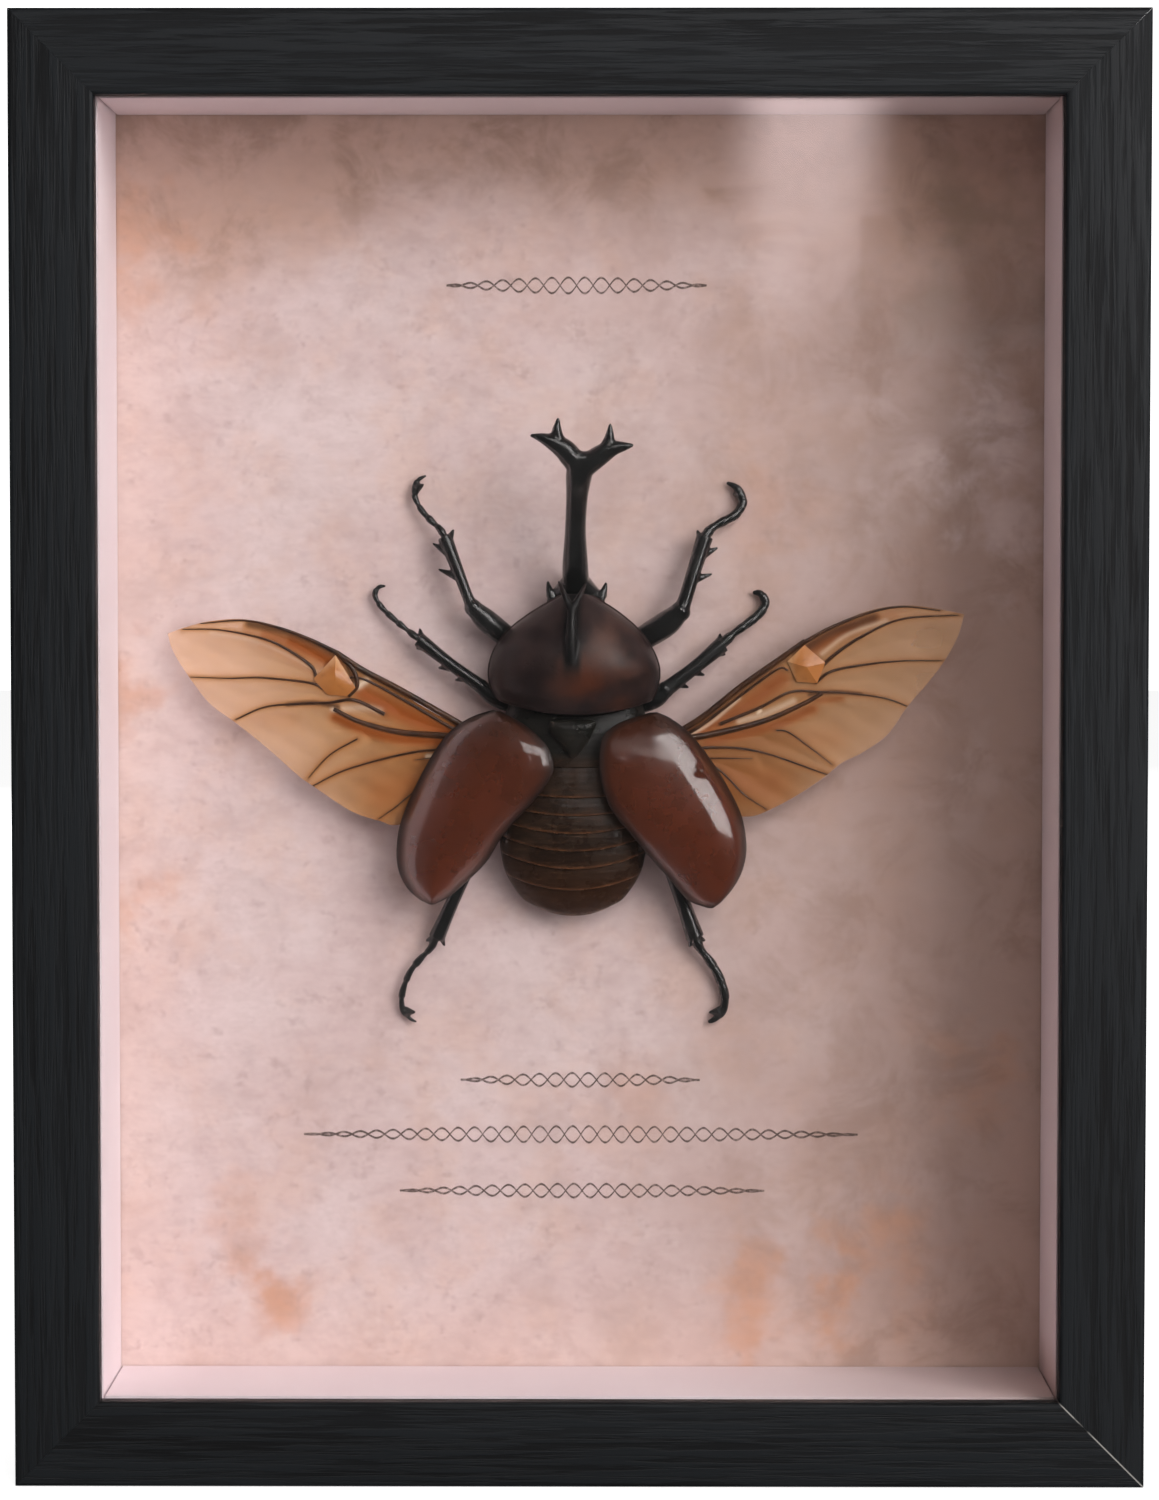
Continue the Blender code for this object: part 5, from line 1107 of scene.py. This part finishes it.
def make_wing(node, front, rear, veins, stains, joint):
    rows, columns = 170, 80
    lead, trail = smooth_line(front, rows), smooth_line(rear, rows)
    share = np.linspace(0, 1, columns)[None, :, None]
    flat = (lead[:, None] * (1 - share) + trail[:, None] * share).reshape(-1, 2)
    close = np.min([nearest_stroke(flat, smooth_line(line, 14)) for line, _, _ in veins], axis=0)
    ripple = 0.12 * np.sin(flat[:, 0] * 0.9 + flat[:, 1] * 0.5) * np.sin(flat[:, 1] * 1.1)
    sag = WING_SAG * (1 - np.exp(-((close / 2.2) ** 2)))
    height = wing_height(flat[:, 0]) - sag + ripple * np.minimum(close / 2, 1)
    grid = [
        (i * columns + j, i * columns + j + 1, (i + 1) * columns + j + 1, (i + 1) * columns + j)
        for i in range(rows - 1) for j in range(columns - 1)
    ]
    shapes = [(np.c_[flat, height], grid)]
    finishes = [0] * len(grid)
    masks = {}
    for label, strokes in stains.items():
        masks[label] = np.zeros(len(flat))
        for line, width, strength in strokes:
            amount = strength * np.exp(-((nearest_stroke(flat, smooth_line(line, 12)) / width) ** 2))
            masks[label] = np.maximum(masks[label], amount)
    masks["dark"] = np.maximum(masks["dark"], 0.35 * np.exp(-((close / 0.45) ** 2)))
    masks["amber"] = np.maximum(masks["amber"], 0.45 * np.exp(-((close / 0.9) ** 2)))
    for line, thick, thin in veins:
        course = smooth_line(line, 60)
        radii = np.linspace(thick, thin, 60)
        rings, some_faces = tube(np.c_[course, wing_height(course[:, 0]), radii], 12)
        shapes.append((rings, some_faces))
        finishes += [1] * len(some_faces)
    corners = np.array(joint)
    middle = corners.mean(axis=0)
    spokes = np.c_[corners, wing_height(corners[:, 0]) + 0.25]
    peak = (*middle, wing_height(middle[0]) + FOLD_LIFT)
    keel = (*(middle * 0.45 + corners[0] * 0.55), wing_height(middle[0]) + FOLD_LIFT * 0.8)
    fold_points = np.array([*spokes, peak, keel])
    count = len(corners)
    fold_faces = [(i, (i + 1) % count, count) for i in range(1, count - 1)]
    fold_faces += [(0, 1, count + 1), (1, count, count + 1)]
    fold_faces += [(count - 1, 0, count + 1), (count, count - 1, count + 1)]
    shapes.append((fold_points, fold_faces))
    finishes += [2] * len(fold_faces)
    mesh = joined(shapes)
    mesh.polygons.foreach_set("material_index", finishes)
    total = len(mesh.vertices)
    for label, values in masks.items():
        full = np.zeros(total)
        full[:len(values)] = values
        if label == "pale":
            full[-len(fold_points):] = FOLD_PALENESS
        mesh.attributes.new(label, "FLOAT", "POINT").data.foreach_set("value", full)
    name = node.replace("hind_wing", "veined_wing")
    beetle_piece(name, mesh, (wing_membrane, dark_vein, folded_film), node, sharp=30)


for node, parts in WINGS.items():
    make_wing(node, *parts)

# Floor and lamps. A plain white floor under a white surround, soft lamps at the right, in front
# and behind, and two soft panels that show only as glows in the glass. The floor is kept out of
# reflections, as when it is flagged off from the glass.
floor_mesh = bpy.data.meshes.new("floor")
FLOOR_HALF = 4.0
FLOOR_DROP = 0.05 * MM
FLOOR_GLOW = 0.6
FLOOR_LEVEL = CASE_LOW.z - FLOOR_DROP
corners = [(x * FLOOR_HALF, y * FLOOR_HALF, FLOOR_LEVEL) for x, y in ((-1, -1), (1, -1), (1, 1), (-1, 1))]
floor_mesh.from_pydata(corners, [], [(0, 1, 2, 3)])
floor_paint, tree, surface, place = new_finish("floor_paint", Roughness=0.9, Specular_IOR_Level=0.1)
painted = mixed(tree, noise(tree, place, 3, 3), (0.93, 0.93, 0.93, 1), (0.95, 0.95, 0.95, 1))
feed(tree, surface, Base_Color=painted)
surface.inputs["Emission Color"].default_value = (1, 1, 1, 1)
surface.inputs["Emission Strength"].default_value = FLOOR_GLOW
floor_mesh.materials.append(floor_paint)
floor = bpy.data.objects.new("floor", floor_mesh)
floor.visible_glossy = floor.visible_transmission = False
bpy.context.scene.collection.objects.link(floor)

world = bpy.data.worlds.new("white_surround")
world.use_nodes = True
bpy.context.scene.world = world
sky = world.node_tree.nodes["Background"]
sky.inputs["Color"].default_value = (1, 1, 1, 1)
path = world.node_tree.nodes.new("ShaderNodeLightPath").outputs
SURROUND_GLOW, SURROUND_MIRRORED, SURROUND_SEEN = 0.36, 0.05, 1.1
strength = spread(world.node_tree, path["Is Glossy Ray"], 0, 1, SURROUND_GLOW, SURROUND_MIRRORED)
seen = worked(world.node_tree, "MULTIPLY", path["Is Camera Ray"], SURROUND_SEEN)
strength = worked(world.node_tree, "ADD", strength, seen)
world.node_tree.links.new(strength, sky.inputs["Strength"])

CASE_MIDDLE = (CASE_LOW + CASE_HIGH) / 2


def lamp(name, place, size, power, colour=(1, 1, 1), aim=CASE_MIDDLE):
    data = bpy.data.lights.new(name, "AREA")
    data.shape = "RECTANGLE"
    data.size, data.size_y = size
    data.energy = power
    data.color = colour
    light = bpy.data.objects.new(name, data)
    light.location = place
    light.rotation_euler = (Vector(place) - Vector(aim)).to_track_quat("Z", "Y").to_euler()
    light.visible_camera = False
    bpy.context.scene.collection.objects.link(light)


lamp("right_lamp", (0.80, -0.88, 0.54), (0.6, 1.0), 11.0, (1.0, 0.96, 0.95))
lamp("front_lamp", (0.30, -1.5, 0.95), (0.9, 0.7), 8.0, (1.0, 0.96, 0.94))
lamp("back_lamp", (-0.6, 1.6, 0.75), (1.7, 1.0), 14.0)

GLOW_PANELS = {  # middle, half width and height, brightness, how far up its lower end stays soft
    "glow_panel": ((0.0995, -1.3, 0.318), (0.044, 0.084), 6.4, 0.5),
    "faint_glow_panel": ((0.150, -1.3, 0.226), (0.028, 0.074), 0.8, 0.0),
}


def glow_panel(name, middle, size, strength, soft_end):
    """An upright panel seen only as a reflection, brightest along its middle, that fades out below."""
    (x, y, z), (half_width, half_height) = middle, size
    corners = [(x + a * half_width, y, z + b * half_height) for a, b in ((-1, -1), (1, -1), (1, 1), (-1, 1))]
    mesh = bpy.data.meshes.new(name)
    mesh.from_pydata(corners, [], [(0, 1, 2, 3)])
    finish = bpy.data.materials.new(name)
    finish.use_nodes = True
    tree = finish.node_tree
    tree.nodes.remove(tree.nodes["Principled BSDF"])
    place = tree.nodes.new("ShaderNodeTexCoord").outputs["Object"]
    away = shade(tree, "VectorMath", {0: place, 1: middle}, operation="SUBTRACT").outputs["Vector"]
    away = shade(tree, "SeparateXYZ", {0: away}).outputs
    fade_x = spread(tree, worked(tree, "ABSOLUTE", away["X"]), half_width, half_width * 0.25)
    fade_z = spread(tree, away["Z"], -half_height, half_height * soft_end)
    fade_z = worked(tree, "MULTIPLY", fade_z, spread(tree, away["Z"], half_height, half_height * 0.6))
    shine = shade(tree, "Emission", {"Color": (1.0, 0.80, 0.80, 1), "Strength": strength}).outputs[0]
    nothing = tree.nodes.new("ShaderNodeBsdfTransparent").outputs[0]
    fade = worked(tree, "MULTIPLY", fade_x, fade_z)
    blend = shade(tree, "MixShader", {0: fade, 1: nothing, 2: shine}).outputs[0]
    tree.links.new(blend, tree.nodes["Material Output"].inputs["Surface"])
    mesh.materials.append(finish)
    panel = bpy.data.objects.new(name, mesh)
    panel.visible_camera = panel.visible_diffuse = panel.visible_shadow = False
    bpy.context.scene.collection.objects.link(panel)


for name, form in GLOW_PANELS.items():
    glow_panel(name, *form)
